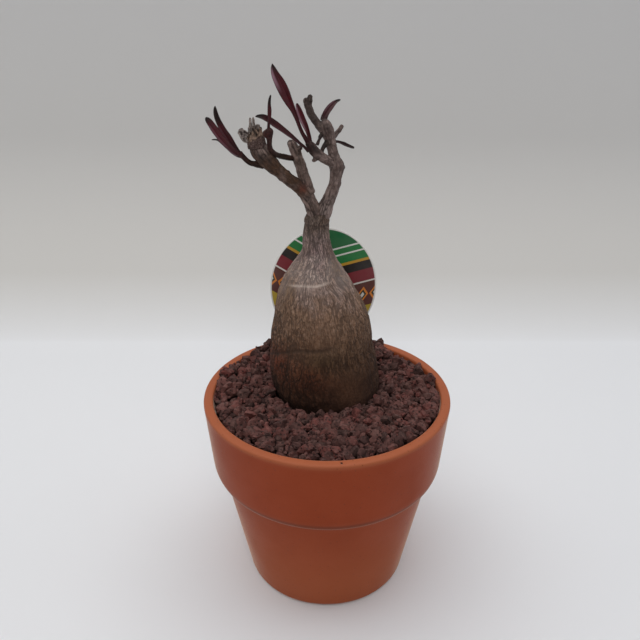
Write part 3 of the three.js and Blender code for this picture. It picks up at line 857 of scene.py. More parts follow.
def makeCaudex():
    # point = centre + grown radius * (cos, sin) of each angle, at each height; the radius grows by
    # three lobes of 1.2 per cent and by the bark's relief, which fades out below the soil
    levels, radius, shift = caudexRows()
    angle = turns(caudex["columns"])
    length = walkedAlong(np.hstack([radius, levels]))[:, None]
    # angles counted from the right shoulder, the front, the right foot, the left front and the left
    shoulder, front, base, leftward, left = (
        np.angle(np.exp(1j * (angle + start))) for start in (0.9, math.pi / 2, 1.05, 2.1, 2.3)
    )
    body = 1 - ease(caudex["neckFrom"], caudex["neckTo"], levels)
    # on the right shoulder the wrinkles slant; `slant` is that patch, and the swing of the angle turns them
    aside = shoulder * radius
    slant = bell(aside, 0, 7) * bell(levels, 155.5, 6)
    worm = 0.07 * noise(barkField(angle, levels, 5, 4, 14, 1), 31) + 0.05 * slant * (levels - 155.5)

    def wrinkles(fieldRadius, width, stretch, field, reach, seed):
        return creases(barkField(angle + worm, length, fieldRadius, width, stretch, field), reach, seed)

    long = np.maximum(wrinkles(25, 1.7, 6.5, 2, 0.25, 41), 0.7 * wrinkles(25, 1, 4, 3, 0.24, 42))
    short = 0.8 * np.maximum(wrinkles(25, 1.6, 3.4, 12, 0.3, 51), wrinkles(25, 1, 2.3, 13, 0.3, 52))
    neck = np.maximum(wrinkles(9.5, 1.3, 5, 4, 0.25, 43), 0.7 * wrinkles(9.5, 0.9, 3.2, 5, 0.22, 44))
    high = ease(136, 156, levels)
    soften = 0.6 + 0.4 * ease(-0.3, 0.4, noise(barkField(angle, length, 20, 7, 9, 7), 46))
    groove = body * soften * (high * long + (1 - high) * short) + (1 - body) * neck
    # lines are faint across the middle of the front, and deep on the slanted patch
    faint = bell(front, 0, 0.5) * bell(levels, 134, 15)
    folds = wrinkles(22, 2.3, 7, 15, 0.3, 54)
    groove = np.clip(1.15 * groove * (1 - 0.7 * slant) * (1 - 0.45 * faint) + 2.2 * slant * folds, 0, 1)
    # the foot is smooth on the right, and a patch above it is pitted
    calm = np.maximum(bell(base, 0, 0.75) * ease(124, 112, levels), 0.6 * faint)
    pitted = bell(aside, -2, 7) * bell(levels, 145, 4.5)
    pits = ease(0.15, 0.5, noise(barkField(angle, length, 25, 1.1, 1.3, 14), 53))
    groove = np.maximum(groove * (1 - 0.8 * calm), 0.9 * pitted * pits)
    sway = 0.5 * noise(barkField(angle, 0, 9, 4, 1, 8), 47)
    ring = bell(levels - caudex["ringHeight"] - 0.6 * sway - 1.4 * front, 0, 0.5)
    ring = ring * ease(0.85, 0.4, np.abs(front + 0.2))
    drop = 4.3 * (leftward - 0.8) ** 2
    crease = bell(levels - caudex["soilStain"] + drop - 1.8 * sway, 0, 1.25)
    crease = crease * ease(1.1, 0.5, np.abs(leftward))
    collar = bell(levels, 183.4, 0.5) + 0.6 * bell(levels, 176.2 + sway, 0.45)
    above = ease(caudex["soil"] - 5, caudex["soil"] + 3, levels)
    groove = above * np.clip(np.maximum(groove, 0.95 * crease) + 0.8 * collar, 0, 1)
    knobs = noise(barkField(angle, levels, 6.5, 3, 3.2, 6), 45)
    relief = -0.46 * groove + 0.16 * knobs * (0.4 + (1 - body)) + 0.22 * ring + 0.1 * bell(levels, 185.2, 0.9)
    relief = relief * above * np.minimum(1, 0.35 + radius / 22)
    x, y = circle(radius + relief + above * 0.012 * radius * np.sin(3 * angle + levels * 0.06), angle)
    patch = noise(barkField(angle, levels, 12, 5, 9, 9), 48)
    red = bell(left, -0.1, 0.8) * bell(levels, 119, 9) * ease(-1.5, 0.3, patch)
    red = red + 0.5 * bell(left, -0.1, 0.5) * bell(levels, 148, 6) * ease(-0.4, 0.5, patch)
    tan = bell(left, -0.25, 0.75) * bell(levels, 158, 12) * ease(-1.3, 0, patch)
    tan = np.maximum(tan, bell(base, 0.55, 0.65) * bell(levels, 164, 9))
    tan = np.maximum(tan, 0.34 * bell(base, 0.15, 0.6) * bell(levels, 126, 11))
    # a dark green-brown patch on the front middle: partly the bark's tone, partly painted shade
    frontDarkPatch = bell(front, -0.05, 0.5) * bell(levels, 125, 6) * ease(-1.2, 0.2, patch)
    marks = {
        "groove": groove, "ring": 0.6 * ring * above, "red": red, "frontDarkPatch": frontDarkPatch, "tan": tan, "calm": calm,
        "fibre": barkField(angle + worm, length, 22, 1, 1, 0),
    }
    mesh = closedSurface("caudexBark", joined(shift + x, caudex["centreY"] + y, levels), marks)
    addPiece(mesh, makeCaudexMaterial(), "caudex")


makeCaudex()
print("caudex made")


# The stems: tubes along their routes, joined in one skin, with bark worked into it

stems = {
    "tubeStep": 0.5,
    "tubeColumns": 20,
    "voxel": 0.27,
    "smoothings": 5,
    "searchStep": 0.4,
    "limbGap": 31,  # from the start of one limb to the next's, where the bark's noise is read
    # each route is a list of (x, y, z, radius)
    "left": [
        [(-5, 9.6, 184, 2.4), (-6, 9.4, 188.6, 3.3), (-7.7, 8.9, 193.3, 3), (-9.6, 8.4, 197.1, 3),
         (-12.8, 7.2, 200.8, 2.8), (-16.5, 5.4, 204.4, 2.8), (-19.5, 3.8, 207.2, 2.7), (-22.5, 2.2, 210.4, 3),
         (-25.3, 0.9, 213.6, 3.6), (-28, -0.2, 217.4, 4), (-30.1, -0.9, 222.1, 3.9)],
        [(-7.8, 8.6, 197.3, 2.5), (-9.4, 8.8, 201.8, 2.6), (-10.6, 9.4, 205.5, 2.6), (-11.8, 10, 209.2, 2.5),
         (-13.2, 10.8, 212.8, 2.3), (-14.6, 11.6, 216.4, 2.2), (-15.7, 12, 218.8, 2.1),
         (-16, 12.1, 220.2, 1.3)],
        [(-13.6, 10.8, 216, 0.9), (-12.2, 10.9, 217.2, 0.9), (-11.6, 11, 218.2, 0.4)],
    ],
    "right": [
        [(-2.4, 9.8, 184, 2.2), (-1.5, 9.8, 188.4, 3.4), (-0.4, 10.1, 191.8, 3.2), (1.2, 10.9, 195.6, 2.9),
         (2.7, 11.8, 199.2, 2.7), (3.4, 12.4, 202.6, 2.6), (3.9, 13, 206, 2.9), (3.8, 13.4, 208.8, 3.1),
         (2.8, 13.9, 212.4, 2.6), (1.9, 14.4, 216.3, 2.3), (1, 14.7, 219.8, 2.4), (-0.2, 15, 223.2, 2.9),
         (-1, 15.4, 226.2, 2.6), (-1.4, 15.8, 228.4, 1.5)],
        [(0.4, 14.7, 221, 1.9), (-2.4, 15.2, 224, 2), (-5.2, 15.9, 227.2, 1.7), (-7.1, 16.5, 230, 1.7),
         (-8.2, 17, 232.8, 1.5), (-9, 17.4, 235, 1.5), (-9.9, 17.7, 236.9, 1.1)],
        [(-8.2, 17.1, 233.2, 1.2), (-7.9, 17.5, 236, 1.4), (-7.4, 17.8, 238.3, 1)],
        [(3.2, 13, 209.4, 2.2), (0.2, 11.8, 211.2, 2), (-2.8, 10.2, 213.2, 2.2), (-5.5, 8.3, 215.8, 2.3),
         (-7.5, 6.9, 218.8, 2.1), (-8.6, 6.2, 220.6, 1.4)],
        [(1.8, 14.9, 219.8, 1.3), (4.2, 16.6, 222.4, 1.1), (5.8, 18.1, 224.2, 1.1), (6.7, 18.9, 225.3, 0.9)],
        [(-1.6, 14.8, 223.4, 0.9), (-3.4, 12.6, 221.4, 0.85), (-4.1, 11, 219.6, 0.75),
         (-4.7, 9.9, 218.2, 0.7)],
        [(0.6, 14.2, 220, 1), (-1, 12.4, 218.3, 1), (-2.4, 10.9, 216.2, 0.95), (-3.2, 9.8, 214.4, 0.9)],
        [(4.4, 13.2, 207.4, 1.3), (5.6, 13.2, 207.8, 1), (6.4, 13.2, 208, 0.4)],
        [(-4.6, 8.6, 213.4, 1.3), (-6, 7.9, 212.3, 0.9), (-6.7, 7.6, 211.8, 0.4)],
    ],
    # knots and leaf scars: (x, y, z, reach, swelling)
    "knots": [
        (-29.9, 0.5, 211.6, 1.9, 0.7), (-24.4, -0.5, 209.6, 1.7, 0.6), (-20.3, 2, 205.6, 1.6, 0.75),
        (-17.6, 3.6, 203.6, 1.3, 0.45), (-23.2, 1.5, 214.8, 1.7, 0.5), (-17, 4.5, 208.2, 1.4, 0.5),
        (-13.2, 6, 203.8, 1.4, 0.55), (-27, -3.4, 216.6, 1.8, 0.4), (-32.9, -0.8, 221.4, 1.7, 0.9),
        (-11.2, 10.5, 216.6, 1.4, 0.5), (-15.9, 10.8, 212.2, 1.3, 0.45), (-10.6, 6.9, 203, 1.8, 0.3),
        (-6.4, 9, 190.6, 2.2, 0.35), (-9, 6.4, 196, 2, 0.35), (7.3, 12.8, 208.4, 2.2, 0.9),
        (-0.6, 13.5, 209.9, 1.5, 0.4), (4.7, 12, 200.6, 1.6, 0.45), (-3.2, 9.5, 192.9, 1.8, 0.4),
        (0.2, 7.6, 193.6, 2, 0.4), (2, 11.6, 213.4, 1.8, 0.4), (0.4, 12.4, 219, 2, 0.5),
        (-0.6, 13.2, 225.4, 2, 0.45), (-4.6, 7.8, 213.8, 1.8, 0.45), (-6.8, 5.6, 217.6, 1.5, 0.5),
        (-6, 14.6, 228.2, 1.4, 0.45), (-9.8, 16, 234.6, 1.2, 0.45), (-6.2, 16.6, 235.6, 1.1, 0.3),
    ],
}


def joinedSkin(name, routes):
    # round tubes along all the routes, made one closed skin of small squares by a voxel remesh
    whole = bmesh.new()
    for route in routes:
        line = splineBySteps(route, stems["tubeStep"], 10)
        # round off the far end: the last radius shrinks as the root of 1 - x^2
        tip = np.clip((shares(len(line)) - 0.93) / 0.07, 0, 1)
        radius = line[:, 3:] * np.sqrt(1 - 0.85 * tip ** 2)
        rings = carried(line, *circle(radius, turns(stems["tubeColumns"])))
        whole.from_mesh(closedSurface(name + "Tube", rings, {}))
    mesh = bpy.data.meshes.new(name + "Rough")
    whole.to_mesh(mesh)
    whole.free()
    rough = addObject(mesh.name, mesh)
    remesh = rough.modifiers.new("skin", "REMESH")
    remesh.mode = "VOXEL"
    remesh.voxel_size = stems["voxel"] * mm
    smooth = rough.modifiers.new("ease", "SMOOTH")
    smooth.iterations = stems["smoothings"]
    smooth.factor = 0.5
    skin = bpy.data.meshes.new_from_object(rough.evaluated_get(bpy.context.evaluated_depsgraph_get()))
    skin.name = name
    bpy.data.objects.remove(rough)
    return skin


def readVectors(items, key):
    # a vector for each of the mesh's items, down a column
    vectors = np.zeros(len(items) * 3)
    items.foreach_get(key, vectors)
    return vectors.reshape(-1, 3)


def limbPlaces(points, routes):
    # for each point, the nearest limb's own axes: side and up components, and the length walked along it;
    # and which limb that is
    nearest = np.full(len(points), np.inf)
    place = np.zeros((len(points), 3))
    limb = np.zeros(len(points))
    for order, route in enumerate(routes):
        line = splineBySteps(route, stems["searchStep"], 12)
        path = line[:, :3]
        gap = np.linalg.norm(points[:, None] - path, axis=2) - line[:, 3]
        closest = gap.argmin(axis=1)
        least = gap.min(axis=1)
        offset = points - path[closest]
        across, rise = ((offset * direction[closest]).sum(axis=1) for direction in sidesAlong(path))
        here = joined(across, rise, walkedAlong(path)[closest] + stems["limbGap"] * order)
        nearer = least < nearest
        nearest = np.where(nearer, least, nearest)
        place = np.where(nearer[:, None], here, place)
        limb = np.where(nearer, order, limb)
    return place, limb


def reachesFrom(points, x, y, z, reach):
    # how far the points lie from a place, counted in its reach
    return np.linalg.norm(points - np.array([x, y, z]), axis=1) / reach


def makeStemMaterial(name, low, high, dusk, scar):
    material, tree, place = newMaterial(name)
    tone = placeGroup(toneDrift, place, low, high, 3.6, 0.65)["Colour"]
    wrinkles = placeGroup(wrinkleLines, readVector(tree, "fibre"), 1.5, 3.2)
    grain = wrinkles["Grain"]
    groove = wrinkles["Groove"]
    crestHighlight = mix(tone, (0.5, "#c9b8ae"))
    flecked = mix(dusk, (remap(grain, 0.54, 0.68, 0, 0.5), "#67503f"))
    # painted highlight: a pale patch round the given place, and paler crests of the grain
    shown = mix(
        tone, (remap(grain, 0.5, 0.72, 0, 0.25), crestHighlight), (readMark(tree, "highlight", 0.4), "#b9a59d"),
        (readMark(tree, "dusk", 0.93), flecked), (readMark(tree, "scar"), scar),
        (readMark(tree, "knot", 0.85), "#2a1d19"), (times(groove, 0.45), "#241914"),
        (readMark(tree, "groove", 0.82), "#1d130f"),
    )
    relief = compute("MULTIPLY_ADD", grain, 0.7, times(groove, -1))
    return finishMaterial(material, shown, remap(grain, 0.3, 0.7, 0.85, 0.6), relief, 0.22, 0.3)


def makeStem(name, node, routes, colours, duskFrom, highlightAt, scarAt, duskAt=()):
    # the skin moves along its normals: creases cut in lengthways, fine rings across at the old leaf
    # bases, and a swelling with a dimple at each knot; a limb in duskFrom is dark from the given length on
    mesh = joinedSkin(name, routes)
    points = readVectors(mesh.vertices, "co") / mm
    place, limb = limbPlaces(points, routes)
    drawn = place / np.array([1, 1, 5])
    groove = creases(drawn / 0.95, 0.34, 61) * ease(-0.5, 0.3, noise(drawn / 2.2, 62))
    rings = creases(place / np.array([3, 3, 1.9]), 0.14, 63) * ease(0.1, 0.5, noise(place / 3, 64))
    lumps = 0.24 * noise(points / 2.4, 65) + 0.12 * noise(points / 1.1, 66)
    knot = np.zeros(len(points))
    swelling = np.zeros(len(points))
    for *spot, size in stems["knots"]:
        distance = reachesFrom(points, *spot)
        swelling += size * bell(distance, 0, 0.85)
        knot = np.maximum(knot, bell(distance, 0.55, 0.22) * 0.7)
    relief = -0.2 * groove - 0.14 * rings + lumps + swelling - 0.14 * knot
    points = points + readVectors(mesh.vertex_normals, "vector") * relief[:, None]
    mesh.vertices.foreach_set("co", (points * mm).ravel())
    mesh.update()
    mesh.shade_smooth()
    # painted highlight: a pale patch round the given place, where the dusk also fades
    highlight = bell(reachesFrom(points, *highlightAt), 0, 1)
    mottle = 0.6 + 0.4 * ease(-0.3, 0.25, noise(points / 3.2, 67))
    dusk = np.zeros(len(points))
    for order, start in duskFrom.items():
        walked = place[:, 2] - stems["limbGap"] * order
        beyond = ease(start - 3, start + 3, walked) * (limb == order)
        dusk += beyond * np.maximum(mottle, ease(start + 15, start + 21, walked))
    dusk = dusk * (1 - 0.95 * highlight)
    for spot in duskAt:
        dusk = np.maximum(dusk, 0.7 * ease(1.25, 0.6, reachesFrom(points, *spot)))
    marks = {
        "fibre": place, "groove": np.clip(groove + 0.6 * rings, 0, 1), "knot": knot, "dusk": dusk,
        "highlight": highlight, "scar": bell(reachesFrom(points, *scarAt), 0, 1),
    }
    for key, values in marks.items():
        addMark(mesh, key, values)
    addPiece(mesh, makeStemMaterial(name + "Bark", *colours), node)


# colours are the bark's low and high tone, the dusk and the scar; places are (x, y, z, reach), and the pale
# place is a painted highlight
makeStem(
    "leftStem", "stem_left", stems["left"], colours=("#604e46", "#998178", "#4a301c", "#5f3326"),
    duskFrom={0: 15}, highlightAt=(-27.2, -3, 219.6, 3.8), scarAt=(-11, 5.4, 200.6, 2.2),
)
makeStem(
    "rightStem", "stem_right", stems["right"], colours=("#604e48", "#907c75", "#160c08", "#331315"),
    duskFrom={5: -20, 6: -20}, highlightAt=(-0.6, 7.4, 190.6, 5), scarAt=(-7.6, 6.8, 218.6, 4.2),
    duskAt=[(-8.6, 17.2, 235, 6.5), (-5.6, 16, 228, 5)],
)
print("stems made")


# The young shoots: soft dark red tubes with swellings at their joints

shoots = {
    "left": [
        (-27.3, 0.4, 211.5, 1.2), (-29.2, -0.2, 212.3, 1.3), (-30.7, -0.8, 212.8, 1.2),
        (-32.4, -1.6, 213.3, 1.1), (-34, -2.6, 214.7, 1.1), (-35.4, -3.6, 216.5, 1.1),
        (-36.5, -4.4, 217.9, 1.1), (-37.1, -4.7, 218.6, 0.7),
    ],
    "centre": [
        (-13.8, 10.9, 212.2, 1.1), (-17.2, 8.6, 213.3, 1.2), (-19.3, 5.4, 214.5, 1.2), (-21.3, 2, 215.8, 1.1),
        (-22.8, -1.5, 217.6, 1.1), (-23.8, -3.3, 219.4, 1.05), (-24.1, -4, 221.6, 1.05),
        (-24.1, -4.2, 223.4, 1.15), (-24.2, -4.3, 224.6, 1.5), (-24.5, -4.3, 225.8, 2.05),
        (-23.9, -4.3, 227.4, 1.65), (-23.7, -4.3, 228.4, 0.9),
    ],
    "rows": 150,
    "columns": 40,
}


def makeShootMaterial():
    material, tree, place = newMaterial("youngShoot")
    woody = mix("#2e1f14", (readMark(tree, "young"), "#402220"))
    tone = placeGroup(toneDrift, place, woody, "#1d100d", 2, 0.7)
    height = placeGroup(fibreGrain, readVector(tree, "fibre"), 0.3, 7)["Height"]
    shown = mix(
        tone["Colour"], (remap(height, 0.5, 0.75, 0, 0.22), "#62443e"),
        (readMark(tree, "groove", 0.7), "#1d0f0f"),
    )
    return finishMaterial(material, shown, remap(height, 0.2, 0.8, 0.65, 0.5), height, 0.08, 0.15)


def makeShoot(name, route, material, node, seed):
    # radius = the route's, times 1 plus small rings where leaves have dropped and a drift of 6 per cent
    line = spline(route, shoots["rows"])
    walked = walkedAlong(line[:, :3])[:, None]
    angle = turns(shoots["columns"])
    t = walked / walked[-1]
    field = joined(*circle(1, angle), walked / 1.6)
    joint = creases(joined(0, 0, walked / 3.1 + seed), 0.12, seed)
    drift = (0.07 + 0.09 * ease(0.75, 0.9, t)) * noise(field * 1.4, seed)
    radius = line[:, 3:] * np.sqrt(1 - 0.9 * np.clip((t - 0.96) / 0.04, 0, 1) ** 2)
    groove = creases(field * np.array([2.6, 2.6, 0.5]), 0.2, seed + 1) * 0.6 + 0.8 * bell(joint, 0.5, 0.2)
    section = circle(radius * (1 + drift + 0.1 * joint) - 0.05 * groove, angle)
    marks = {"groove": np.clip(groove, 0, 1), "fibre": joined(*section, walked), "young": ease(0.4, 0.9, t)}
    addPiece(closedSurface(name, carried(line, *section), marks), material, node)


shootMaterial = makeShootMaterial()
makeShoot("leftShoot", shoots["left"], shootMaterial, "shoot_left", 71)
makeShoot("centreShoot", shoots["centre"], shootMaterial, "shoot_centre", 81)
print("shoots made")


# The leaves: folded along the midrib, thick in the middle and thin at the edge

leaves = {
    "thickness": 0.46,
    "rows": 110,
    "halfColumns": 15,  # from the midrib to one edge, on one face
    # midrib points are (x, y, z, half width); the fold is in degrees and opens towards `open`.
    # The painted reflection on the upper face, a pale mauve, is given by its amount, the side (-1, 1 or 0 for
    # both) and the stretch; `tip` is where the dark tip starts, and `shade` darkens the whole blade.
    "all": {
        "leftLong": dict(
            node="leaf_left_long", fold=30, open=(-0.2, -0.9, 0.1),
            highlight=(0.2, 1, 0.3, 0.6), tip=0.62, shade=0.2,
            midrib=[(-35.8, -4.2, 216.9, 0.8), (-36.8, -4.6, 218.3, 1), (-38.8, -4.8, 221.5, 1.5),
                    (-40.5, -5, 224.5, 1.8), (-42.2, -5.2, 227.3, 1.7), (-43.6, -5.3, 230.1, 1.5),
                    (-44.6, -5.2, 232.5, 1.3), (-45.2, -4.9, 234.8, 1), (-45.4, -4.6, 237, 0.4)],
        ),
        "leftRound": dict(
            node="leaf_left_round", fold=25, open=(-0.2, -0.9, 0.1),
            highlight=(0.25, 1, 0.3, 0.8), tip=0.9, shade=0,
            midrib=[(-35.8, -4.6, 217.1, 0.8), (-37, -5.4, 218.1, 0.9), (-39.3, -6.6, 220.4, 1.3),
                    (-41.4, -7.6, 222.9, 1.6), (-43.3, -8.6, 225.5, 1.7), (-44.7, -9.4, 227.9, 1.7),
                    (-46, -10.2, 230.1, 1.6), (-47.3, -10.9, 232.3, 1.4), (-48.3, -11.5, 233.8, 0.8)],
        ),
        "leftCurled": dict(
            node="leaf_left_curled", fold=32, open=(0.3, -0.6, 0.8),
            highlight=(0.7, 0, 0.1, 0.5), tip=0.7, shade=0.2,
            midrib=[(-36.2, -3.8, 216.4, 0.6), (-38.4, -3.8, 217.1, 0.7), (-40, -3.6, 218.1, 0.8),
                    (-41.5, -3.4, 219.5, 0.7), (-43.2, -3.1, 221.1, 0.7), (-44.7, -2.8, 222.4, 0.6),
                    (-46, -2.4, 223, 0.5), (-48.2, -1.6, 222.9, 0.3)],
        ),
        "centre": dict(
            node="leaf_centre", fold=30, open=(0.45, -0.85, 0),
            highlight=(0, 0, 0.2, 0.5), tip=0.6, shade=0.15,
            midrib=[(-24.3, -4.2, 226.6, 0.7), (-24.3, -4.3, 229.5, 0.65), (-24, -4.5, 232.2, 0.9),
                    (-23.8, -4.7, 235.2, 1), (-23.8, -4.8, 237.8, 0.8), (-23.4, -4.9, 240, 0.55),
                    (-23, -5, 241.3, 0.3)],
        ),
        "arching": dict(
            node="leaf_arching", fold=30, open=(0.1, -0.9, 0.3),
            highlight=(0.1, 1, 0.3, 0.7), tip=0.8, shade=0.45,
            midrib=[(-8.3, 4.4, 216.7, 0.6), (-10.1, 4, 218.9, 0.6), (-11.7, 3.4, 220.3, 0.7),
                    (-14, 2.4, 222.5, 0.9), (-16.7, 1.2, 224.9, 1.2), (-19.4, 0.2, 227.2, 1.4),
                    (-22, -0.6, 229.2, 1.6), (-24.3, -1.2, 230.9, 1.5), (-26.4, -1.6, 232, 1.3),
                    (-28.3, -1.8, 232.4, 0.8), (-29.8, -1.9, 232.3, 0.3)],
        ),
        "tall": dict(
            node="leaf_tall", fold=30, open=(-0.2, -0.9, 0.1),
            highlight=(0.95, 1, 0.7, 0.95), tip=0.94, shade=0,
            midrib=[(-8, 6.3, 218.7, 1), (-9.3, 5.6, 221.8, 1), (-11, 4.6, 225.1, 0.95),
                    (-12.9, 2.9, 230.5, 1), (-14.3, 1.2, 234.5, 1.35), (-16, -0.9, 238.5, 1.95),
                    (-17.4, -3, 242.2, 2.45), (-18.9, -5, 245.8, 2.5), (-20.4, -6.8, 249.1, 2.1),
                    (-21.2, -8.2, 251.4, 1.4), (-21.8, -9.2, 253.5, 0.35)],
        ),
        "short": dict(
            node="leaf_short", fold=32, open=(-0.2, -0.9, 0.1),
            highlight=(0.6, 1, 0.3, 0.95), tip=1, shade=0,
            midrib=[(-7.6, 7.2, 219.9, 0.9), (-7.9, 7.9, 222.2, 0.9), (-8.5, 8.3, 224.4, 1.1),
                    (-9.5, 8.8, 226.8, 1.45), (-10.5, 9.4, 229, 1.6), (-11.4, 10, 231.2, 1.6),
                    (-12.2, 10.6, 233.2, 1.4), (-12.8, 11, 234.6, 1), (-13.1, 11.2, 235.7, 0.35)],
        ),
        "upper": dict(
            node="leaf_upper", fold=28, open=(-0.1, -0.9, 0.3),
            highlight=(0.4, 1, 0.3, 0.8), tip=0.75, shade=0.5,
            midrib=[(-2, 15.8, 227.6, 1.4), (-1.2, 17, 229.4, 1.6), (0, 18.4, 231.3, 1.6),
                    (1.7, 20, 233.2, 1.4), (3.5, 21.6, 234.6, 0.9), (5.6, 23.2, 235.3, 0.35)],
        ),
        "rightNarrow": dict(
            node="leaf_right_narrow", fold=32, open=(0.1, -0.7, 0.6),
            highlight=(0, 0, 0.3, 0.8), tip=0.3, shade=0.85,
            midrib=[(2.6, 14.2, 219, 0.7), (4.1, 14.6, 218.8, 0.75), (6.2, 15.1, 218, 0.95),
                    (8.1, 15.5, 217.1, 1), (10.1, 15.9, 216.3, 0.85), (11.7, 16.2, 215.7, 0.5)],
        ),
    },
}


def makeLeafMaterial():
    # across runs from -1 to 1 over the blade and along from 0 at the stalk to 1 at the tip
    material, tree, place = newMaterial("youngLeaf")
    along = readMark(tree, "along")
    own = colourRamp(along, {0: "#2b0e0f", 0.25: "#3f0d12", 0.55: "#560f1b", 0.8: "#4b1019", 1: "#2a1815"})
    tone = placeGroup(toneDrift, place, own, "#3a1217", 2.2, 0.6)
    # side veins leave the midrib at a slant: a wave of along minus a share of the distance from the midrib
    away = compute("ABSOLUTE", readMark(tree, "across"))
    wave = compute("SINE", times(compute("MULTIPLY_ADD", away, -0.035, along), 190))
    veins = times(softMap(wave, 0.75, 1), remap(away, 0.95, 0.6))
    lines = compute("MAXIMUM", times(veins, 0.35), softMap(away, 0.1, 0.02))
    # painted reflection: a pale mauve where the upper face catches the light
    shown = mix(
        tone["Colour"], (readMark(tree, "highlight"), "#9a7380"), (readMark(tree, "under", 0.5), "#33161a"),
        (times(lines, 0.3), "#6d3440"), (readMark(tree, "dark"), "#1a1512"),
        (remap(away, 0.85, 1, 0, 0.7), "#1b0c0d"),
    )
    speckle = noiseTexture(place, 5)
    height = compute("MULTIPLY_ADD", speckle, 0.25, compute("SUBTRACT", 1, lines))
    coat = {"Coat Weight": 0.06, "Coat Roughness": 0.25}
    return finishMaterial(material, shown, remap(speckle, 0.3, 0.7, 0.34, 0.5), height, 0.07, 0.22, coat)


def bladeSection(columns):
    # round a blade from one edge over the upper face and back underneath: the share of the half width,
    # from -1 to 1, and then 1 on the upper face and -1 below
    over = np.linspace(0, math.pi, columns)[None]
    under = over[:, 1:-1]
    share = np.concatenate([np.cos(over), -np.cos(under)], axis=1)
    return share, np.concatenate([0 * over + 1, 0 * under - 1], axis=1)


def thinned(share):
    # a blade's thickness over its width fades as the root of 1 - s^2
    return np.sqrt(np.maximum(1 - share ** 2, 0))


def makeLeaf(name, leaf, material):
    # The section is a closed loop: the upper face from one edge to the other, then the under face back.
    # At a share s of the half width w, across = s w cos(fold) and rise = w |s| sin(fold), with a soft
    # turn at the midrib, plus half the thickness.
    line = spline(leaf["midrib"], leaves["rows"])
    t = shares(leaves["rows"])
    endRound = np.sqrt(np.maximum(1 - np.clip((t - 0.94) / 0.06, 0, 1) ** 2, 0.003))
    half = np.maximum(line[:, 3:], 0.35) * endRound
    share, upper = bladeSection(2 * leaves["halfColumns"] + 1)
    seed = sum(map(ord, name))
    fold = math.radians(leaf["fold"]) * ease(0, 0.25, t)
    spread = np.sqrt(share ** 2 + 0.03) - math.sqrt(0.03)
    ripple = 0.16 * noise(joined(t * 6, seed, np.sign(share) * 2), seed) * share ** 2
    thick = np.minimum(0.5 * leaves["thickness"] * (0.25 + 0.75 * thinned(share)) * endRound, 0.7 * half)
    ribRise = np.where(upper > 0, -0.05, -0.16) * bell(share, 0, 0.12) * ease(1, 0.8, t)
    rise = half * (np.sin(fold) * spread + ripple) + upper * thick + ribRise
    # painted reflection: pale mauve on the upper face over the given stretch
    amount, side, start, end = leaf["highlight"]
    onSide = ease(0.25, 0.6, share * side) if side else 1
    highlight = amount * onSide * ease(start - 0.12, start + 0.1, t) * ease(end + 0.05, end - 0.05, t)
    dark = np.maximum(ease(leaf["tip"] - 0.12, leaf["tip"] + 0.1, t), leaf["shade"])
    marks = {"across": share, "along": t, "under": upper < 0, "highlight": highlight * (upper > 0), "dark": 0.85 * dark}
    rings = carried(line, half * share * np.cos(fold), rise, leaf["open"])
    addPiece(closedSurface(name + "Leaf", rings, marks), material, leaf["node"])


leafMaterial = makeLeafMaterial()
for leafName, leaf in leaves["all"].items():
    makeLeaf(leafName, leaf, leafMaterial)
print("leaves made:", len(leaves["all"]))


# The dried end of the left stem: a torn cup of pith, a curled flake of bark and two dead threads

driedEnd = {
    "foot": (-29.6, -0.8, 219.8),
    "top": (-30.5, -1.2, 228.4),
    "outer": (3.95, 3.85, 3.4),  # radius at the foot, half way and at the lip
    "wall": 0.8,
    "barkStep": 0.35,
    "floorShare": 0.5,  # how far up the cup its floor lies
    "cupColumns": 160,
    "cupRows": (44, 22),  # up the outside and down the inside
    # round the cup in degrees from the right, 90 at the back: (angle, lip height, bark's edge), as shares
    "lip": [(0, 0.8, 0.44), (45, 0.95, 0.62), (90, 0.93, 0.7), (135, 0.8, 0.6), (180, 0.5, 0.25),
            (225, 0.62, 0.3), (262, 0.95, 0.48), (285, 0.93, 0.55), (315, 0.82, 0.52)],
    "flake": [(-32.3, -1.7, 221.8, 0.9), (-33.1, -2, 223.1, 1.7), (-34, -2.2, 224.4, 2.1),
              (-34.9, -2.5, 225.6, 2.2), (-35.8, -2.6, 226.6, 1.9), (-36.6, -2.6, 227.3, 1.1)],
    "flakeOpen": (-0.1, -0.95, 0.3),
    "flakeCurl": 65,  # degrees
    "flakeThickness": 0.44,
    "flakeRows": 60,
    "flakeColumns": 33,
    "threads": [
        [(-31.7, 0.2, 225.4, 1), (-31.9, -0.4, 227.2, 0.75), (-31.9, -0.9, 229.4, 0.6),
         (-32, -1.2, 231.8, 0.45)],
        [(-30.9, 0.4, 225.4, 1), (-30.7, -0.2, 227.2, 0.8), (-30.6, -0.9, 229.6, 0.65),
         (-30.7, -1.4, 232, 0.5)],
    ],
    "threadRows": 40,
    "threadColumns": 16,
}


def makeDryMaterial():
    # bark and ash are marks: ash is the weathered grey of the flake, the threads and the lip behind
    material, tree, place = newMaterial("dryTissue")
    tone = placeGroup(toneDrift, place, "#ab8f7c", "#5c4436", 1.5, 0.75)
    wrinkles = placeGroup(wrinkleLines, place, 0.7, 2.5)
    grain = wrinkles["Grain"]
    groove = wrinkles["Groove"]
    # the dark mark is painted shade in hollows and on shaded sides
    shown = mix(
        tone["Colour"], (remap(grain, 0.5, 0.65, 0, 0.5), "#c9b39f"),
        (readMark(tree, "ash"), mix("#7a6c67", (remap(grain, 0.35, 0.65), "#c3b5ad"))),
        (readMark(tree, "bark"), mix("#4a3731", (remap(grain, 0.4, 0.65), "#7d6862"))),
        (times(groove, 0.45), "#1f1512"), (readMark(tree, "dark"), "#150e0c"),
    )
    relief = compute("MULTIPLY_ADD", grain, 0.8, times(groove, -1))
    return finishMaterial(material, shown, remap(grain, 0.3, 0.7, 0.95, 0.8), relief, 0.25, 0.25)


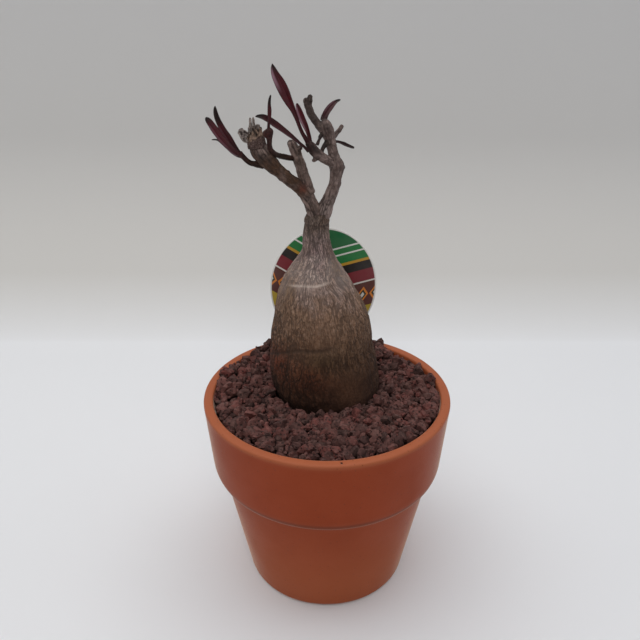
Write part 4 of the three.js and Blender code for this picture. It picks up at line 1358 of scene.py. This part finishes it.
def addDryPiece(name, rings, material, dark, bark=0, ash=1):
    marks = {"dark": np.clip(dark, 0, 1), "bark": bark, "ash": ash}
    addPiece(closedSurface(name, rings, marks), material, "dried_stub_end")


def makeTornCup(material):
    # the wall's section goes up outside, over the lip and down inside to a floor; the lip's height is
    # read round the table and made ragged by noise, and so is the wall's radius
    foot = np.array(driedEnd["foot"])
    axis = np.array(driedEnd["top"]) - foot
    angle = turns(driedEnd["cupColumns"])
    up, down = driedEnd["cupRows"]
    level = np.concatenate([shares(up), np.linspace(1, driedEnd["floorShare"], down)[:, None]])
    inside = np.repeat([0.0, 1.0], [up, down])[:, None]
    around = joined(*circle(2.2, angle), 0)
    turned, lips, barks = np.array(driedEnd["lip"], float).T
    ragged = 0.1 * noise(around * 1.6, 91) + 0.12 * noise(around * 4, 92)
    height = np.clip(level * (np.interp(np.degrees(angle), turned, lips, period=360) + ragged), 0, 1)
    radius = np.interp(level, (0, 0.5, 1), driedEnd["outer"]) - driedEnd["wall"] * inside
    radius = radius * (1 - 0.3 * ease(1, driedEnd["floorShare"], level) * inside)
    rough = joined(*circle(2, angle), level * 2.4 + 3 * inside)
    torn = ease(0.3, 0.8, level)
    radius = radius + (0.15 + 0.4 * torn) * noise(rough, 93) + (0.1 + 0.22 * torn) * noise(rough * 2.7, 94)
    # the bark stands proud of the torn tissue by a small step
    edge = np.interp(np.degrees(angle), turned, barks, period=360) + 0.1 * noise(around * 2.4, 96)
    bark = ease(edge + 0.03, edge - 0.03, height) * (1 - inside)
    across, rise = circle(radius + driedEnd["barkStep"] * (bark - 1) * (1 - inside), angle)
    side, upward = sidesAlong(np.stack([foot, foot + axis]))
    rings = foot + axis * height[..., None] + side[0] * across[..., None] + upward[0] * rise[..., None]
    # painted shade: dark hollows in the torn tissue, and the inside of the cup darkens below the lip
    hollows = ease(0, 0.35, noise(rough * 1.7 + 5, 95))
    dark = 0.9 * hollows * ease(0.5, 0.75, level) * (1 - bark)
    dark = np.maximum(dark, 0.95 * inside * ease(0.86, 0.68, level))
    ash = ease(-0.2, 0.5, np.sin(angle)) * ease(0.5, 0.8, level)
    addDryPiece("tornCup", rings, material, dark, bark, ash)


def makeFlake(material):
    # a blade of bark curled inwards: across and rise follow an arc of up to flakeCurl each way
    rows = driedEnd["flakeRows"]
    line = spline(driedEnd["flake"], rows)
    t = shares(rows)
    share, upper = bladeSection(driedEnd["flakeColumns"])
    tip = np.sqrt(np.maximum(1 - np.clip((t - 0.88) / 0.12, 0, 1) ** 2, 0.01))
    half = line[:, 3:] * (1 + 0.2 * noise(joined(t * 8, np.sign(share) * 3, 0), 96)) * tip
    curl = np.maximum(math.radians(driedEnd["flakeCurl"]) * ease(0, 0.5, t), 0.05)
    crumple = joined(t * 6, share * 1.6, upper)
    thick = 0.5 * driedEnd["flakeThickness"] * (0.4 + 0.6 * thinned(share))
    rise = half * (1 - np.cos(share * curl)) / curl + upper * thick + 0.35 * noise(crumple * [1, 1, 0], 98)
    rings = carried(line, half * np.sin(share * curl) / curl, rise, driedEnd["flakeOpen"])
    # painted shade, mottled, in the hollow of the curl, whose rim stays pale
    mottle = ease(-0.3, 0.25, noise(crumple * [1.3, 2.2, 1], 99))
    dark = 0.85 * mottle * ease(0.8, 0.5, np.abs(share)) * ease(0.1, 0.3, t) * ease(0.97, 0.85, t)
    addDryPiece("barkFlake", rings, material, dark)


def makeThreads(material):
    # radius = the route's, times 1 plus a fifth of noise, rounded off at the tip
    for order, route in enumerate(driedEnd["threads"]):
        line = spline(route, driedEnd["threadRows"])
        t = shares(driedEnd["threadRows"])
        angle = turns(driedEnd["threadColumns"])
        drift = 0.2 * noise(joined(*circle(1, angle), t * 9 + order), 97 + order)
        section = circle(line[:, 3:] * (1 + drift) * np.sqrt(1 - 0.8 * t ** 12), angle)
        # painted shade along one side of each thread, fading towards the tip, which is darker itself
        dark = 0.5 * ease(0.85, 1, t) + 0.6 * ease(0.45, 0.95, np.cos(angle)) * ease(0.9, 0.5, t)
        addDryPiece("dryThread" + str(order + 1), carried(line, *section), material, dark)


dryMaterial = makeDryMaterial()
makeTornCup(dryMaterial)
makeFlake(dryMaterial)
makeThreads(dryMaterial)
print("dried end made")


# The label: an oval head on a pointed stake

label = {
    "centre": (-1.7, 44.0, 137.5),
    "lean": 6,  # degrees backwards
    "tilt": 8,  # degrees to the right
    "halfWidth": 27.8,
    "halfHeight": 31.5,
    "stakeLength": 74,
    "stakeHalfWidth": 6,
    "pointHalfWidth": 1.2,
    "pointFrom": -52,
    "thickness": 0.8,
    "border": 0.7,
    "blend": 0.8,  # how softly the head and the stake meet
    "bow": 0.0008,  # mm backwards for each square mm of the distance from the middle
    "rows": 190,
    "stakeRows": 60,
    "columns": 24,
    "edgeColumns": 5,
    # the bands' colours, each from its level in mm up
    "bands": {
        -46: "#8a1c1f", -24: "#b3982b", -17: "#5a2a22", -3.6: "#d9d4cc", -2.6: "#7d1f2b", 4.2: "#1b1513",
        9: "#c2922b", 10.4: "#1d7a3d", 15: "#e4e2dc", 15.9: "#1d7a3d", 19: "#e4e2dc", 19.9: "#17693a",
    },
    "bandsTop": 32,
}


def makeLabelMaterial():
    # `print` is a mark of millimetres across and up from the head's centre
    material, tree, place = newMaterial("labelPlastic")
    spot = readVector(tree, "print")
    across = placeAlong(spot, "X")
    up = placeAlong(spot, "Y")
    # plain chevrons: bands of the height less a share of the distance from the middle
    sideways = compute("ABSOLUTE", across)
    level = compute("MULTIPLY_ADD", sideways, -0.42, up)
    low = min(label["bands"])
    top = label["bandsTop"]
    stops = {(start - low) / (top - low): code for start, code in label["bands"].items()}
    bands = colourRamp(remap(level, low, top), stops, "CONSTANT")
    # a row of diamonds along the maroon band: |u - middle| + |v - middle| under a fixed reach
    cell = compute("FRACT", compute("MULTIPLY_ADD", sideways, 1 / 6.4, 0.22))
    cellAcross = compute("ABSOLUTE", compute("SUBTRACT", cell, 0.5))
    cellUp = compute("ABSOLUTE", compute("DIVIDE", compute("ADD", level, 10.3), 10))
    diamond = compute("ADD", cellAcross, cellUp)
    # the white border and the bare white stake: the head is where (x/a)^2 + (y/b)^2 < 1
    wide = compute("DIVIDE", across, label["halfWidth"] - label["border"])
    high = compute("DIVIDE", up, label["halfHeight"] - label["border"])
    oval = compute("MULTIPLY_ADD", wide, wide, times(high, high))
    bare = compute("MAXIMUM", remap(oval, 0.985, 1), readMark(tree, "back"))
    printed = mix(
        bands, (remap(diamond, 0.47, 0.45), "#d9802a"), (remap(diamond, 0.31, 0.29), "#22301f"),
        (remap(diamond, 0.17, 0.15), "#d9d4cc"), (bare, "#e6e4df"),
    )
    tone = placeGroup(toneDrift, place, printed, "#8a8378", 12, 0.08)
    scuffs = remap(noiseTexture(place, 0.8, 4), 0.3, 0.7, 0.3, 0.42)
    return finishMaterial(material, tone["Colour"], scuffs, noiseTexture(place, 0.25, 2), 0.08)


def labelHalfWidth(height):
    # the wider of the oval, a * sqrt(1 - (v/b)^2), and the stake, which narrows to its point
    oval = label["halfWidth"] * np.sqrt(np.maximum(1 - (height / label["halfHeight"]) ** 2, 0))
    share = np.clip((label["pointFrom"] - height) / (label["stakeLength"] + label["pointFrom"]), 0, 1)
    stake = label["stakeHalfWidth"] * (1 - share) + label["pointHalfWidth"] * share
    stake = np.where(height < 0, stake, 0)
    # a soft maximum, so that the two meet in a small round
    blend = label["blend"]
    return np.log(np.exp(oval / blend) + np.exp(stake / blend)) * blend


def makeLabel():
    # point = centre + across * width direction + height * long direction + thickness direction, on a
    # closed loop of the front face and the back face whose edges are rounded
    top = label["halfHeight"]
    head = top * np.cos(np.linspace(0, math.pi, label["rows"]))
    stake = np.linspace(-top + 0.2, -label["stakeLength"], label["stakeRows"])
    height = np.concatenate([head[head > -top + 0.3], stake])[::-1][:, None]
    half = np.maximum(labelHalfWidth(height), 0.05)
    flat = np.linspace(1, -1, label["columns"])
    bend = np.linspace(0.4, math.pi - 0.4, label["edgeColumns"])
    edge = 0.5 * label["thickness"]
    # front from left to right, round the right edge, back from right to left, round the left edge
    share = np.concatenate([-flat, 0 * bend + 1, flat, 0 * bend - 1])
    swell = np.concatenate([0 * flat, np.sin(bend), 0 * flat, -np.sin(bend)])
    depth = np.concatenate([0 * flat - 1, -np.cos(bend), 0 * flat + 1, np.cos(bend)]) * edge
    across = share * np.maximum(half - edge * 0.5, 0.02) + swell * edge * 0.5
    bow = label["bow"] * across ** 2
    tilt = math.radians(label["tilt"])
    lean = math.radians(label["lean"])
    leaning = np.array([[1, 0, 0], [0, math.cos(lean), math.sin(lean)], [0, -math.sin(lean), math.cos(lean)]])
    wide = leaning @ np.array([math.cos(tilt), 0, -math.sin(tilt)])
    long = leaning @ np.array([math.sin(tilt), 0, math.cos(tilt)])
    deep = leaning @ np.array([0, 1, 0])
    rings = across[..., None] * wide + height[..., None] * long + (depth + bow)[..., None] * deep
    marks = {"print": joined(across, height, 0), "back": depth > 0.2 * edge}
    mesh = closedSurface("pushInLabel", np.array(label["centre"]) + rings, marks)
    addPiece(mesh, makeLabelMaterial(), "label")


makeLabel()
print("label made")
